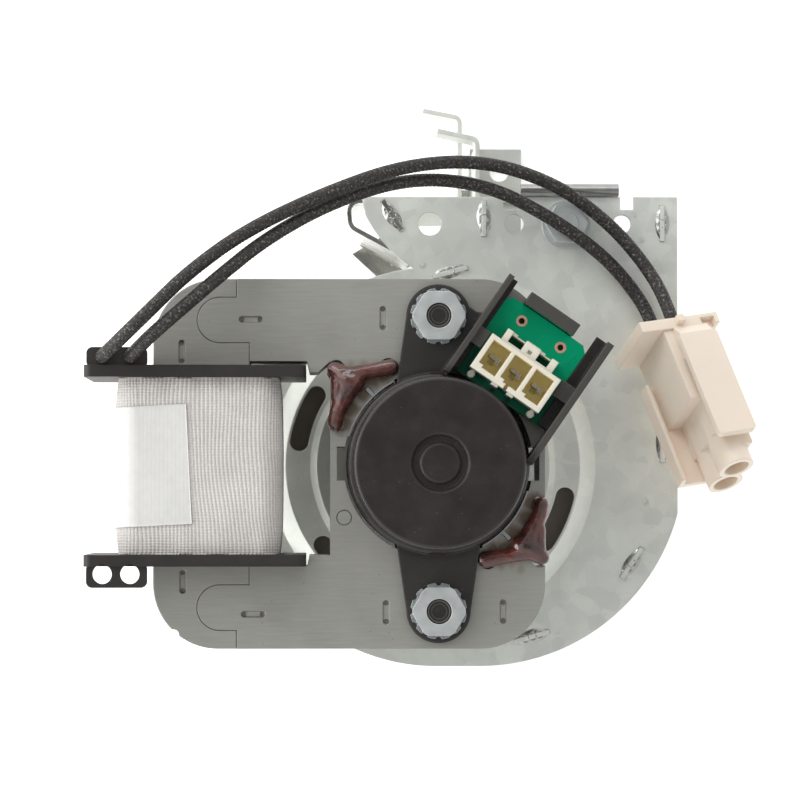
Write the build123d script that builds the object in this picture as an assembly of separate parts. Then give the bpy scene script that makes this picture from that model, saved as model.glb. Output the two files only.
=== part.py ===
"""Combustion fan: a sheet-steel centrifugal blower driven by a C-frame shaded-pole motor.

Millimetres. The shaft is the Z axis, with +Z towards the motor's upper bearing. The origin is on the shaft
axis, at the outer face of the front (inlet) plate, on which the fan lies. +Y points out of the air outlet.
"""

import math
import os

from build123d import *

# ---------------------------------------------------------------- driving dimensions: blower
SHEET = 0.8
SCROLL_WIDTH = 35.0
REAR_UNDER = SHEET + SCROLL_WIDTH
REAR_TOP = REAR_UNDER + SHEET
OUTLET_LEFT = 8.95
OUTLET_RIGHT = 39.9
PLATE_TOP = 46.6
PLATE_RIGHT = 42.5
FRONT_TOP = 42.3
SCROLL_CENTRE = (8.2, 0.8)
SCROLL_R = 31.7
BACK_CENTRE = (1.2, 0.5)
BACK_R = 31.4
TONGUE_ANGLE = 105.0
TONGUE_R = 4.0
INLET_R = 19.0
INLET_LIP = 3.3
BOSS_PROFILE = [(20.0, 5.5), (21.1, 3.0), (25.4, 3.0), (28.2, 0.0)]
BOSS_HOLE_R = 5.5
PAD_R = 4.8
RING_TOP = REAR_TOP + 3.0
SLOT_R = (21.8, 25.0)
SLOT_CENTRES = [46.0, 159.5, 226.4, 336.2]
SLOT_ANGLE = 21.0
TAB_LENGTH = 6.2
TAB_RISE = 0.4
UPPER_HOLES = [(-0.45, 41.9, 2.0), (14.2, 41.95, 1.6), (32.9, 41.9, 1.55)]
CLIP_SCREW_AT = (23.2, 41.8)

# ---------------------------------------------------------------- driving dimensions: motor
STACK_LOW = 53.0
STACK_HIGH = 69.0
FRAME_LEFT = -47.0
FRAME_RIGHT = 17.65
FRAME_HALF = 30.5
CORNER_R = 10.7
LEG_RIGHT = -31.1
WINDOW_RIGHT = -17.8
WINDOW_HALF = 16.9
BORE_R = 15.6
BAR_COUNT = 17
BAR_CIRCLE_R = 12.4
BAR_R = 0.7
ROTOR_R = 14.9
STUD_Y = 24.25
STUD_R = 2.05
CAP_R = 14.1
CAP_BASE_R = 15.05
CAP_TOP = 80.0
EAR_R = 5.3
EAR_THICK = 1.5
SHAFT_R = 2.38
BEARING_GAP = 0.04
BEARING_R = 5.5
BEARING_LONG = 4.4
CAP_ROOF = 1.5
LOWER_CAP = 0.9
COIL_LEFT = -53.3
COIL_RIGHT = -25.4
COIL_LOW = 46.0
COIL_HIGH = 76.0
TAPE = 1.4
FLANGE_LEFT = -58.05
FLANGE_RIGHT = -21.8
FLANGES = [(14.1, 16.05), (-16.85, -14.95)]
FLANGE_LOW = 45.0
FLANGE_HIGH = 77.0
TAB_HOLES_X = [-55.0, -50.5]
TABS = [(15.6, 18.95), (-20.3, -16.3)]
TERMINAL_Y = 17.3
TAB_HOLE_Y = -18.1
TAB_Z = (74.6, 76.5)
LEAD_START = 76.6

# ---------------------------------------------------------------- driving dimensions: sensor board
BOARD_TURN = -34.5
BOARD = (-7.0, 14.3, 10.3, 29.4)
BOARD_Z = (71.2, 72.8)
BOARD_HOLES = [(-2.0, 27.0), (5.7, 27.0)]
HEADER = (-4.9, 15.75, 8.6, 22.25)
HEADER_TOP = 79.6
EARS = (-3.2, 6.7)
LATCH_OUT = 2.15
LATCH_WINDOWS = [(-2.1, 0.45), (3.3, 5.5)]
PIN_PITCH = 4.2
HEADER_MID = 1.85
RAIL_TOP = 79.0

# ---------------------------------------------------------------- driving dimensions: impeller
IMPELLER_R = 26.0
BLADE_ROOT_R = 21.2
BLADE_COUNT = 26
BLADE_THICK = 0.5
RIM_Z = (4.0, 4.8)
BACKPLATE_Z = (32.0, 32.8)

# ---------------------------------------------------------------- driving dimensions: leads and plug
LEAD_D = 2.3
PLUG_CORNER = (34.6, 24.1, 52.0)
PLUG_HEADING = -70.44
PLUG_PITCH = 24.0
PLUG_ROLL = 25.0
PLUG_WIDE = 15.0
PLUG_DEEP = 12.3
BARREL_R = 3.05
BARREL_END = 28.0
BARRELS = [(9.5, -4.1), (9.5, -9.2)]
WIRE_ENTRIES = [(8.6, -4.1), (7.4, -9.2)]


# ---------------------------------------------------------------- helpers
def save(shape, name):
    export_step(shape, f"parts/{name}.step")


def block(x0, y0, z0, x1, y1, z1):
    """A box between two corners."""
    return Pos((x0 + x1) / 2, (y0 + y1) / 2, (z0 + z1) / 2) * Box(x1 - x0, y1 - y0, z1 - z0)


def rod(x, y, z0, z1, r):
    """A round bar along Z."""
    return Pos(x, y, (z0 + z1) / 2) * Cylinder(r, z1 - z0)


def tube(x, y, z0, z1, outer, inner):
    return rod(x, y, z0, z1, outer) - rod(x, y, z0 - 1, z1 + 1, inner)


def prism(face, z0, z1):
    """A flat face in XY made solid between two heights."""
    return Pos(0, 0, z0) * extrude(face, z1 - z0)


def polygon(points):
    return make_face(Polyline(*points, close=True))


def turned(profile):
    """A closed (radius, z) profile turned about the shaft."""
    return revolve(make_face(Polyline(*[(r, 0, z) for r, z in profile], close=True)), Axis.Z)


def polar(radius, degrees):
    return (radius * math.cos(math.radians(degrees)), radius * math.sin(math.radians(degrees)))


def group(solids):
    """Separate solids of one kind in one node."""
    return Compound(children=list(solids))


def both_ends(shape):
    """A shape and its half-turn copy about the shaft."""
    return [shape, Rot(0, 0, 180) * shape]


# ---------------------------------------------------------------- blower housing
def scroll_line():
    """The middle line of the wrapper: outlet wall, tongue, spiral, outlet wall."""
    join = (
        BACK_CENTRE[0] + polar(BACK_R, TONGUE_ANGLE)[0],
        BACK_CENTRE[1] + polar(BACK_R, TONGUE_ANGLE)[1],
    )
    slope = polar(1.0, TONGUE_ANGLE - 90)
    corner_y = join[1] + (OUTLET_LEFT - join[0]) / slope[0] * slope[1]
    tongue = FilletPolyline(
        (OUTLET_LEFT, PLATE_TOP - 0.3), (OUTLET_LEFT, corner_y), join, radius=TONGUE_R
    )
    back = CenterArc(BACK_CENTRE, BACK_R, TONGUE_ANGLE, 270 - TONGUE_ANGLE)
    floor = Line(back @ 1, (SCROLL_CENTRE[0], back.position_at(1).Y))
    sweep_up = CenterArc(SCROLL_CENTRE, SCROLL_R, 270, 90)
    wall = Line(sweep_up @ 1, (OUTLET_RIGHT, PLATE_TOP - 0.3))
    return [*tongue.edges(), back, floor, sweep_up, wall]


def tab_places():
    """Centre and direction of each staked tab of the wrapper."""
    around = [(SCROLL_CENTRE, SCROLL_R, a) for a in (-33.9, -73.5)]
    places = [(OUTLET_LEFT, 42.8, 90.0), (OUTLET_RIGHT, 42.0, 90.0), (OUTLET_RIGHT, 3.6, 90.0)]
    for centre, radius, angle in around:
        x, y = polar(radius, angle)
        places.append((centre[0] + x, centre[1] + y, angle + 90))
    x, y = polar(BACK_R, TONGUE_ANGLE)
    slope = TONGUE_ANGLE - 90
    dx, dy = polar(10.4, slope)
    places.append((BACK_CENTRE[0] + x + dx, BACK_CENTRE[1] + y + dy, slope))
    for angle in (160.0, 215.0):
        x, y = polar(BACK_R, angle)
        places.append((BACK_CENTRE[0] + x, BACK_CENTRE[1] + y, angle + 90))
    return places


def tab_block(place, z0, z1, grow=0.0):
    x, y, angle = place
    size = (TAB_LENGTH + 2 * grow, SHEET + 2 * grow, z1 - z0)
    return Pos(x, y, (z0 + z1) / 2) * Rot(0, 0, angle) * Box(*size)


def scroll_wrapper():
    ribbon = trace(scroll_line(), line_width=SHEET)
    body = prism(ribbon, SHEET + 0.02, REAR_UNDER - 0.02)
    for place in tab_places():
        body += tab_block(place, REAR_UNDER - 1, REAR_TOP + TAB_RISE)
        if place[1] < FRONT_TOP - TAB_LENGTH:
            body += tab_block(place, 0.05, SHEET + 1)
    return body


CLIP_TAB = (-7.0, 43.4, 123.0)


def plate_arcs():
    """The round lower edge that both side plates share, from the right edge to the left."""
    edge_r = 35.5
    drop = math.sqrt(edge_r**2 - (PLATE_RIGHT - SCROLL_CENTRE[0]) ** 2)
    start = (PLATE_RIGHT, SCROLL_CENTRE[1] - drop)
    low_y = SCROLL_CENTRE[1] - edge_r
    right = RadiusArc(start, (SCROLL_CENTRE[0], low_y), edge_r)
    left_centre = (0.6, -0.2)
    left_r = left_centre[1] - low_y
    floor = Line((SCROLL_CENTRE[0], low_y), (left_centre[0], low_y))
    return start, right, floor, left_centre, left_r


def rear_outline():
    start, right, floor, centre, radius = plate_arcs()
    back_end = (-3.3, 34.2)
    back = ThreePointArc(floor @ 1, (centre[0] - radius, centre[1]), back_end)
    slant = ThreePointArc(back_end, (-8.2, 38.4), (-11.6, 43.4))
    top_left = (-12.2, PLATE_TOP)
    top_right = (PLATE_RIGHT, PLATE_TOP)
    rest = Polyline(slant @ 1, top_left, top_right, start)
    return make_face([right, floor, back, slant, *rest.edges()])


def ring_slot(middle, z0, z1):
    """A curved cooling slot with round ends in the raised ring."""
    mid_r = sum(SLOT_R) / 2
    half_wide = (SLOT_R[1] - SLOT_R[0]) / 2
    line = CenterArc((0, 0), mid_r, middle - SLOT_ANGLE / 2, SLOT_ANGLE)
    slot = prism(trace(line, line_width=2 * half_wide), z0, z1)
    for end in (-1, 1):
        x, y = polar(mid_r, middle + end * SLOT_ANGLE / 2)
        slot += rod(x, y, z0, z1, half_wide)
    return slot


def rear_plate():
    plate = prism(rear_outline(), REAR_UNDER, REAR_TOP)
    bend = 0.8
    plate -= rod(0, 0, REAR_UNDER - 1, REAR_TOP + 1, BOSS_PROFILE[-1][0] - bend)
    top = [(BOSS_HOLE_R, REAR_TOP + BOSS_PROFILE[0][1])]
    top += [(r, REAR_TOP + h) for r, h in BOSS_PROFILE]
    under = [(r - bend, REAR_UNDER + h) for r, h in reversed(BOSS_PROFILE)]
    under += [(BOSS_HOLE_R, REAR_UNDER + BOSS_PROFILE[0][1])]
    plate += turned(top + under)
    for middle in SLOT_CENTRES:
        plate -= ring_slot(middle, REAR_UNDER, RING_TOP + 1)
    for place in [*tab_places(), CLIP_TAB]:
        plate -= tab_block(place, REAR_UNDER - 1, REAR_TOP + 1, 0.05)
    for side in (-1, 1):
        y = side * STUD_Y
        plate += rod(0, y, REAR_UNDER + 0.4, RING_TOP, PAD_R)
        plate -= rod(0, y, REAR_UNDER - 1, RING_TOP - SHEET, PAD_R - SHEET)
        plate -= rod(0, y, REAR_UNDER, RING_TOP + 1, STUD_R + 0.15)
    for x, y, r in UPPER_HOLES:
        plate -= rod(x, y, REAR_UNDER - 1, REAR_TOP + 1, r)
    plate -= rod(*CLIP_SCREW_AT, REAR_UNDER - 1, REAR_TOP + 1, 2.15)
    for x0, x1 in ((12.35, 15.0), (32.6, 34.9)):
        plate -= block(x0, 44.4, REAR_UNDER - 1, x1, PLATE_TOP + 1, REAR_TOP + 1)
    return plate


def front_plate():
    start, right, floor, centre, radius = plate_arcs()
    step_x = 5.2
    rise = math.sqrt(radius**2 - (step_x - centre[0]) ** 2)
    back = ThreePointArc(floor @ 1, (centre[0] - radius, centre[1]), (step_x, centre[1] + rise))
    rest = Polyline(back @ 1, (step_x, FRONT_TOP), (PLATE_RIGHT, FRONT_TOP), start)
    plate = prism(make_face([right, floor, back, *rest.edges()]), 0, SHEET)
    ear = block(7.9, FRONT_TOP - 1, 0, 17.2, 58.0, SHEET)
    strip = block(-4.5, 44.1, 0, 8.5, PLATE_TOP, SHEET)
    plate += ear + strip
    plate -= rod(13.2, 53.8, -1, SHEET + 1, 1.7)
    lip_r = INLET_R + SHEET
    plate += rod(0, 0, 0, INLET_LIP, lip_r)
    plate -= rod(0, 0, -1, INLET_LIP + 1, INLET_R)
    for place in tab_places():
        if place[1] < FRONT_TOP - TAB_LENGTH:
            plate -= tab_block(place, -1, SHEET + 1, 0.05)
    return plate


def strip_path(points, radius, thick, z0, z1):
    """A bent strip that stands on edge: its middle line in XY, with rounded bends."""
    line = FilletPolyline(*points, radius=radius)
    return prism(trace(line.edges(), line_width=thick), z0, z1)


def hook_bracket():
    """Foot on the front plate's ear, with a tall near finger and a low far finger."""
    foot = block(7.9, 48.2, SHEET, 17.2, 58.0, 2 * SHEET)
    foot -= rod(13.2, 53.8, 0, 3, 1.7)
    near = strip_path([(8.1, 47.2), (8.1, 57.2), (1.1, 58.7)], 1.2, SHEET, SHEET, 30.0)
    near -= block(-4, 56.0, 0, 20, 60, 21.0)
    near -= block(7, 46, 2 * SHEET + 4, 9.5, 52.0, 14.0)
    far = strip_path([(5.7, 47.2), (5.7, 62.9), (-0.9, 64.2)], 1.2, SHEET, SHEET, 10.0)
    bridge = block(5.3, 47.2, SHEET, 8.5, 50.5, 2 * SHEET)
    return foot + near + far + bridge


def side_clip():
    """A folded strip between the plates, left of the outlet, with a foot and a staked tab."""
    points = [(-3.9, 35.9), (-14.2, 41.5), (-14.6, 46.0), (-8.3, 45.9)]
    loop = strip_path(points, [1.9, 1.9], SHEET, 6.0, REAR_UNDER - 0.05)
    foot = polygon([(-13.6, 38.9), (-8.2, 33.9), (-2.2, 37.0), (-6.6, 43.0)])
    tab = tab_block(CLIP_TAB, REAR_UNDER - 6, REAR_TOP + TAB_RISE)
    web = block(-8.4, 44.6, REAR_UNDER - 6, -7.0, 46.3, REAR_UNDER - 0.05)
    post = block(-6.5, 36.9, SHEET, -5.6, 38.2, 8.0)
    return loop + prism(foot, 0, SHEET) + tab + web + post


def outlet_clip():
    """A rolled bar along the outlet's edge with a leg behind the rear plate."""
    bar_r = 1.1
    bar = Pos(23.8, 47.75, REAR_TOP + 0.3) * Rot(0, 90, 0) * Cylinder(bar_r, 17.0)
    neck = block(15.4, 46.7, REAR_UNDER - 0.9, 32.2, 48.1, REAR_TOP)
    leg = block(16.2, 40.2, REAR_UNDER - 0.9, 31.4, 47.2, REAR_UNDER - 0.05)
    leg -= rod(*CLIP_SCREW_AT, REAR_UNDER - 2, REAR_TOP + 1, 2.05)
    return bar + neck + leg


def hexagon(x, y, z0, z1, flats):
    return Pos(x, y, z0) * extrude(RegularPolygon(flats / 2, 6, major_radius=False), z1 - z0)


def clip_fastener():
    x, y = CLIP_SCREW_AT
    head = rod(x, y, REAR_UNDER - 3.0, REAR_UNDER - 0.95, 3.4)
    screw = head + rod(x, y, REAR_UNDER - 1.0, REAR_TOP + 3.4, 1.95)
    nut = hexagon(x, y, REAR_TOP + 0.9, REAR_TOP + 3.2, 6.4) + rod(x, y, REAR_TOP, REAR_TOP + 0.9, 4.2)
    return screw, nut - rod(x, y, REAR_TOP - 1, REAR_TOP + 5, 1.97)


# ---------------------------------------------------------------- motor: iron
def leg_outline():
    """The laminated leg that carries the coil, with its two shoulders."""
    leg = Rectangle(LEG_RIGHT - FRAME_LEFT, 2 * FRAME_HALF)
    leg = Pos((LEG_RIGHT + FRAME_LEFT) / 2, 0) * leg
    knob_x, knob_y, knob_r = -36.0, 23.7, 3.7
    for side in (-1, 1):
        shoulder = Rectangle(4.0, 8.0)
        leg -= Pos(-33.2 + 2.0, side * (27.4 + 4.0)) * shoulder
        leg -= Pos(knob_x + 5.0, side * knob_y) * Rectangle(10.0, 2 * knob_r)
        leg -= Pos(knob_x, side * knob_y) * Circle(knob_r)
    return leg


def frame_outline():
    corners = Rectangle(FRAME_RIGHT - FRAME_LEFT, 2 * FRAME_HALF)
    return Pos((FRAME_RIGHT + FRAME_LEFT) / 2, 0) * fillet(corners.vertices(), CORNER_R)


def window_outline():
    near = 15.1
    points = [(LEG_RIGHT, WINDOW_HALF), (-21.6, WINDOW_HALF), (-21.2, near), (-19.8, near)]
    points += [(WINDOW_RIGHT, 16.9), (WINDOW_RIGHT, -near), (-21.2, -near)]
    points += [(-21.6, -WINDOW_HALF), (LEG_RIGHT, -WINDOW_HALF)]
    return polygon(points)


SHADING_POSTS = [(-16.8, 15.6), (-8.2, 15.9), (-16.9, 6.85)]
SEAM = 0.13
BRIDGE_TOP = STACK_HIGH + 0.25
STEM_ANGLE = 133.5
STEM_END = 17.2
DENTS = [
    (-30.9, 23.8, 0), (-30.5, -24.8, 0), (-42.3, 18.4, 90), (-42.1, -19.4, 90),
    (-9.1, 24.0, 90), (-8.6, -24.5, 90), (10.7, -24.4, 90), (10.4, 24.2, 90),
]


def stack_cuts(z0, z1):
    """Everything that passes right through the iron."""
    cuts = []
    for x, y in SHADING_POSTS:
        cuts += both_ends(rod(x, y, z0, z1, 1.5))
    cuts += both_ends(tube(-15.5, -8.9, STACK_HIGH - 0.35, z1, 1.3, 1.12))
    cuts += both_ends(Rot(0, 0, STEM_ANGLE) * block(BORE_R - 1, -0.38, z0, STEM_END + 0.1, 0.38, z1))
    for side in (-1, 1):
        cuts.append(rod(0, side * STUD_Y, z0, z1, STUD_R + 0.15))
        cuts.append(block(min(side * 15, side * 16.7), -2.8, z0, max(side * 15, side * 16.7), 2.8, z1))
    cuts.append(rod(-43.6, -28.2, z0, z1, 0.9))
    return cuts


def lamination_lock():
    """The punched lock that holds the sheets together: a shallow oval with sloping sides and two deeper ends."""
    oval = extrude(SlotOverall(4.1, 1.15), 0.4, dir=(0, 0, -1), taper=30)
    ends = rod(-1.45, 0, -1.0, 0, 0.36) + rod(1.45, 0, -1.0, 0, 0.36)
    return oval + ends


def stator_iron():
    leg_face = leg_outline() & frame_outline()
    yoke_face = frame_outline() - leg_outline() - window_outline() - Circle(BORE_R)
    yoke = prism(yoke_face, STACK_LOW, STACK_HIGH)
    leg = prism(leg_face, STACK_LOW, STACK_HIGH)
    for cut in stack_cuts(STACK_LOW - 1, STACK_HIGH + 1):
        yoke -= cut
        leg -= cut
    for x, y, angle in DENTS:
        where = Pos(x, y, STACK_HIGH) * Rot(0, 0, angle)
        yoke -= where * lamination_lock()
        leg -= where * lamination_lock()
    seam = leg_face - offset(leg_face, -SEAM)
    leg -= prism(seam, STACK_HIGH - 0.5, STACK_HIGH + 1)
    return yoke, leg


def shading_coil():
    """Two copper loops that share the post at the pole's outer corner."""
    over, under = (STACK_HIGH + 0.02, STACK_HIGH + 1.7), (STACK_LOW - 1.7, STACK_LOW - 0.02)
    corner = SHADING_POSTS[0]
    coil = None
    for x, y in SHADING_POSTS:
        post = rod(x, y, under[0], over[1], 1.4)
        coil = post if coil is None else coil + post
    for x, y in SHADING_POSTS[1:]:
        middle = ((x + corner[0]) / 2, (y + corner[1]) / 2)
        reach = math.dist((x, y), corner)
        angle = math.degrees(math.atan2(y - corner[1], x - corner[0]))
        for z0, z1 in (over, under):
            strap = Rot(0, 0, angle) * Box(reach, 2.6, z1 - z0)
            coil += Pos(middle[0], middle[1], (z0 + z1) / 2) * strap
    return coil


def pole_bridge():
    """A thin steel shunt that lines the bore between the pole tips, keyed into the iron by a stem."""
    lining = trace(CenterArc((0, 0), BORE_R - 0.16, 118, 45), line_width=0.3)
    arc = prism(lining, STACK_LOW + 0.1, BRIDGE_TOP)
    stem = block(BORE_R - 0.2, -0.3, STACK_LOW + 0.1, STEM_END, 0.3, BRIDGE_TOP)
    return arc + Rot(0, 0, STEM_ANGLE) * stem


# ---------------------------------------------------------------- motor: coil
def bobbin():
    low, high = STACK_LOW - 0.15, STACK_HIGH + 0.15
    wall = 0.9
    left, right = FRAME_LEFT - 0.15, LEG_RIGHT + 0.15
    shape = block(left - wall, FLANGES[1][1], low - wall, right + wall, FLANGES[0][0], high + wall)
    for y0, y1 in FLANGES:
        flange = block(FLANGE_LEFT, y0, FLANGE_LOW, FLANGE_RIGHT, y1, FLANGE_HIGH)
        shape += fillet(flange.edges().filter_by(Axis.Y), 1.2)
    for y0, y1 in TABS:
        shelf = block(-57.6, y0, TAB_Z[0], -47.7, y1, TAB_Z[1])
        shape += fillet(shelf.edges().filter_by(Axis.Z), 1.0)
    for x in TAB_HOLES_X:
        shape -= rod(x, TERMINAL_Y, TAB_Z[0] - 1, TAB_Z[1] + 1, 0.9)
        shape -= rod(x, TAB_HOLE_Y, TAB_Z[0] - 1, TAB_Z[1] + 1, 1.6)
    shape -= block(left, -30, low, right, 30, high)
    return shape


def coil_body(grow):
    """The wound block, rounded along its length."""
    left, right = COIL_LEFT + TAPE - grow, COIL_RIGHT - TAPE + grow
    low, high = COIL_LOW + TAPE - grow, COIL_HIGH - TAPE + grow
    body = block(left, FLANGES[1][1] + 0.05, low, right, FLANGES[0][0] - 0.05, high)
    return fillet(body.edges().filter_by(Axis.Y), 2.1 + grow)


def coil_parts():
    wall = 0.9 + 0.2
    tunnel = block(
        FRAME_LEFT - wall, -30, STACK_LOW - wall, LEG_RIGHT + wall, 30, STACK_HIGH + wall
    )
    winding = coil_body(0.0) - tunnel
    tape = coil_body(TAPE) - coil_body(0.0)
    label = block(-52.6, -10.0, COIL_HIGH + 0.01, -40.4, 9.8, COIL_HIGH + 0.16)
    return winding, tape, label


def coil_terminals():
    """Two solder pins in the flange, each with a short sleeve that receives a lead."""
    pins = []
    for x in TAB_HOLES_X:
        pins.append(rod(x, TERMINAL_Y, 66.0, LEAD_START, 0.85))
    return group(pins)


# ---------------------------------------------------------------- motor: brackets
def ear_plate(low, high):
    """The bracket's two ears, flaring into its round middle."""
    shape = rod(0, 0, low, high, CAP_BASE_R - 0.2)
    for side in (-1, 1):
        shape += rod(0, side * STUD_Y, low, high, EAR_R)
        flare = [(-EAR_R, side * STUD_Y), (EAR_R, side * STUD_Y)]
        flare += [(7.0, side * 12.5), (-7.0, side * 12.5)]
        shape += prism(polygon(flare), low, high)
    return shape


def bearing_cap(top):
    """A domed cap with a bearing seat inside. It rises from the stack's upper face."""
    base = STACK_HIGH + 0.3
    roof = CAP_ROOF
    shape = ear_plate(STACK_HIGH, STACK_HIGH + EAR_THICK)
    shape -= rod(0, 0, STACK_HIGH - 1, base, CAP_BASE_R + 0.5)
    bead = rod(0, 0, base, base + 1.8, CAP_BASE_R)
    shape += fillet(bead.edges().filter_by(GeomType.CIRCLE).sort_by(Axis.Z)[-1], 0.9)
    dome = rod(0, 0, base, top, CAP_R)
    shape += fillet(dome.edges().filter_by(GeomType.CIRCLE).sort_by(Axis.Z)[-1], 0.7)
    shape -= rod(0, 0, base - 1, base + 2.0, 13.6)
    shape -= rod(0, 0, base, top - roof, 12.5)
    shape += tube(0, 0, top - roof - BEARING_LONG, top - roof + 0.1, 7.2, BEARING_R + 0.02)
    for side in (-1, 1):
        shape -= rod(0, side * STUD_Y, STACK_HIGH - 1, STACK_HIGH + 3, STUD_R + 0.15)
    return shape


def rail_walls():
    """The sensor board's pocket: two rails with lips, an end stop and a floor, in board axes."""
    left = block(-8.1, 12.9, STACK_HIGH + 0.05, -7.1, 31.9, RAIL_TOP)
    left += block(-7.2, 14.5, BOARD_Z[1] + 0.1, -6.2, 31.9, BOARD_Z[1] + 1.1)
    left += block(-8.1, 19.2, RAIL_TOP - 3, -5.15, 22.3, RAIL_TOP - 1)
    right = block(11.4, 8.3, STACK_HIGH + 0.05, 12.6, 31.8, RAIL_TOP)
    right += block(9.6, 14.5, BOARD_Z[1] + 0.1, 11.5, 31.8, BOARD_Z[1] + 1.1)
    right += block(8.85, 19.6, RAIL_TOP - 3, 12.6, 22.6, RAIL_TOP - 1.5)
    stop = block(-3.4, 29.5, STACK_HIGH + 0.05, 6.2, 31.6, RAIL_TOP - 1.5)
    stop += block(-3.4, 27.0, STACK_HIGH + 0.05, 6.2, 31.6, STACK_HIGH + 1.2)
    floor = block(-8.1, 18.5, STACK_HIGH + 0.05, 12.6, 27.4, STACK_HIGH + 1.2)
    ledges = block(-7.2, 14.5, STACK_HIGH + 0.05, -6.2, 27.4, BOARD_Z[0] - 0.05)
    ledges += block(9.6, 14.5, STACK_HIGH + 0.05, 11.5, 27.4, BOARD_Z[0] - 0.05)
    return left + right + stop + floor + ledges


def ear_web():
    """The flat web that joins the upper ear to the sensor board's near rail."""
    outline = [(3.0, 16.0), (4.9, 26.0), (6.3, 25.0), (7.6, 24.8), (8.6, 24.2), (5.0, 16.0)]
    return prism(polygon(outline), STACK_HIGH, STACK_HIGH + EAR_THICK)


def upper_bracket():
    shape = bearing_cap(CAP_TOP)
    shape += Rot(0, 0, BOARD_TURN) * rail_walls()
    shape += ear_web()
    groove = tube(0, 0, CAP_TOP - 0.8, CAP_TOP + 1, 4.45, 3.45)
    groove += Pos(0, 0, CAP_TOP - 0.2) * (Cone(4.45, 4.85, 0.4) - Cone(3.45, 3.05, 0.4))
    return shape - groove


def mirrored(shape):
    """The same shape on the stack's other face."""
    middle = Plane.XY.offset((STACK_LOW + STACK_HIGH) / 2)
    return mirror(shape, about=middle)


def lower_bracket():
    shape = mirrored(bearing_cap(CAP_TOP - LOWER_CAP))
    return shape - rod(0, 0, 30, 60, SHAFT_R + 0.5)


def bearing(top):
    """A sintered bearing with rounded ends, in the seat of a cap of that height."""
    low = top - CAP_ROOF - BEARING_LONG
    ball = rod(0, 0, low, low + BEARING_LONG - 0.05, BEARING_R)
    ball = chamfer(ball.edges().filter_by(GeomType.CIRCLE), 1.1)
    return ball - rod(0, 0, low - 1, low + 6, SHAFT_R + BEARING_GAP)


def felt(top):
    """The oil wick round the bearing's seat."""
    low = top - CAP_ROOF - BEARING_LONG
    return tube(0, 0, low, low + BEARING_LONG - 0.2, 10.8, 7.3)


def retainer(top):
    """A thin spring disc that presses the bearing into its seat."""
    low = top - CAP_ROOF - BEARING_LONG - 0.45
    disc = tube(0, 0, low, low + 0.4, 10.5, 4.2)
    for i in range(6):
        x, y = polar(6.2, i * 60)
        disc -= rod(x, y, low - 1, low + 1, 0.8)
    return disc


# ---------------------------------------------------------------- motor: fasteners
def stud_set():
    studs, nuts, washers, spacers = [], [], [], []
    ear_top = STACK_HIGH + EAR_THICK
    for side in (-1, 1):
        y = side * STUD_Y
        head = hexagon(0, y, RING_TOP - SHEET - 1.9, RING_TOP - SHEET - 0.02, 6.6)
        studs.append(head + rod(0, y, RING_TOP - SHEET - 1, ear_top + 3.4, STUD_R))
        nuts.append(lock_nut(y, ear_top + 0.75))
        washers.append(tooth_washer(y, ear_top))
        spacers.append(tube(0, y, RING_TOP, STACK_LOW - EAR_THICK, 3.1, STUD_R + 0.1))
    return group(studs), group(nuts), group(washers), group(spacers)


def lock_nut(y, low):
    nut = hexagon(0, y, low, low + 3.1, 7.94)
    crown = rod(0, y, low, low + 3.1, 4.35)
    return (nut & crown) - rod(0, y, low - 1, low + 5, STUD_R + 0.02)


def tooth_washer(y, low):
    """An external tooth washer."""
    disc = rod(0, y, low, low + 0.7, 4.65)
    for i in range(12):
        x, dy = polar(4.75, i * 30)
        disc -= rod(x, y + dy, low - 1, low + 2, 0.55)
    return disc - rod(0, y, low - 1, low + 2, STUD_R + 0.12)


# ---------------------------------------------------------------- sensor board
def on_board(shape):
    return Rot(0, 0, BOARD_TURN) * shape


def sensor_board():
    a0, b0, a1, b1 = BOARD
    cut = 1.7
    outline = [(a0, b0), (a1, b0), (a1, b1 - cut), (a1 - cut, b1), (a0 + cut, b1), (a0, b1 - cut)]
    board = prism(polygon(outline), *BOARD_Z)
    for a, b in BOARD_HOLES:
        board -= rod(a, b, 60, 80, 0.75)
    return on_board(board)


def board_eyelets():
    low, high = BOARD_Z
    rings = []
    for a, b in BOARD_HOLES:
        collar = tube(a, b, high, high + 0.06, 0.95, 0.5) + tube(a, b, low, high + 0.03, 0.74, 0.5)
        rings.append(on_board(collar))
    return group(rings)


def header_cells():
    return [HEADER_MID + i * PIN_PITCH for i in (-1, 0, 1)]


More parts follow.
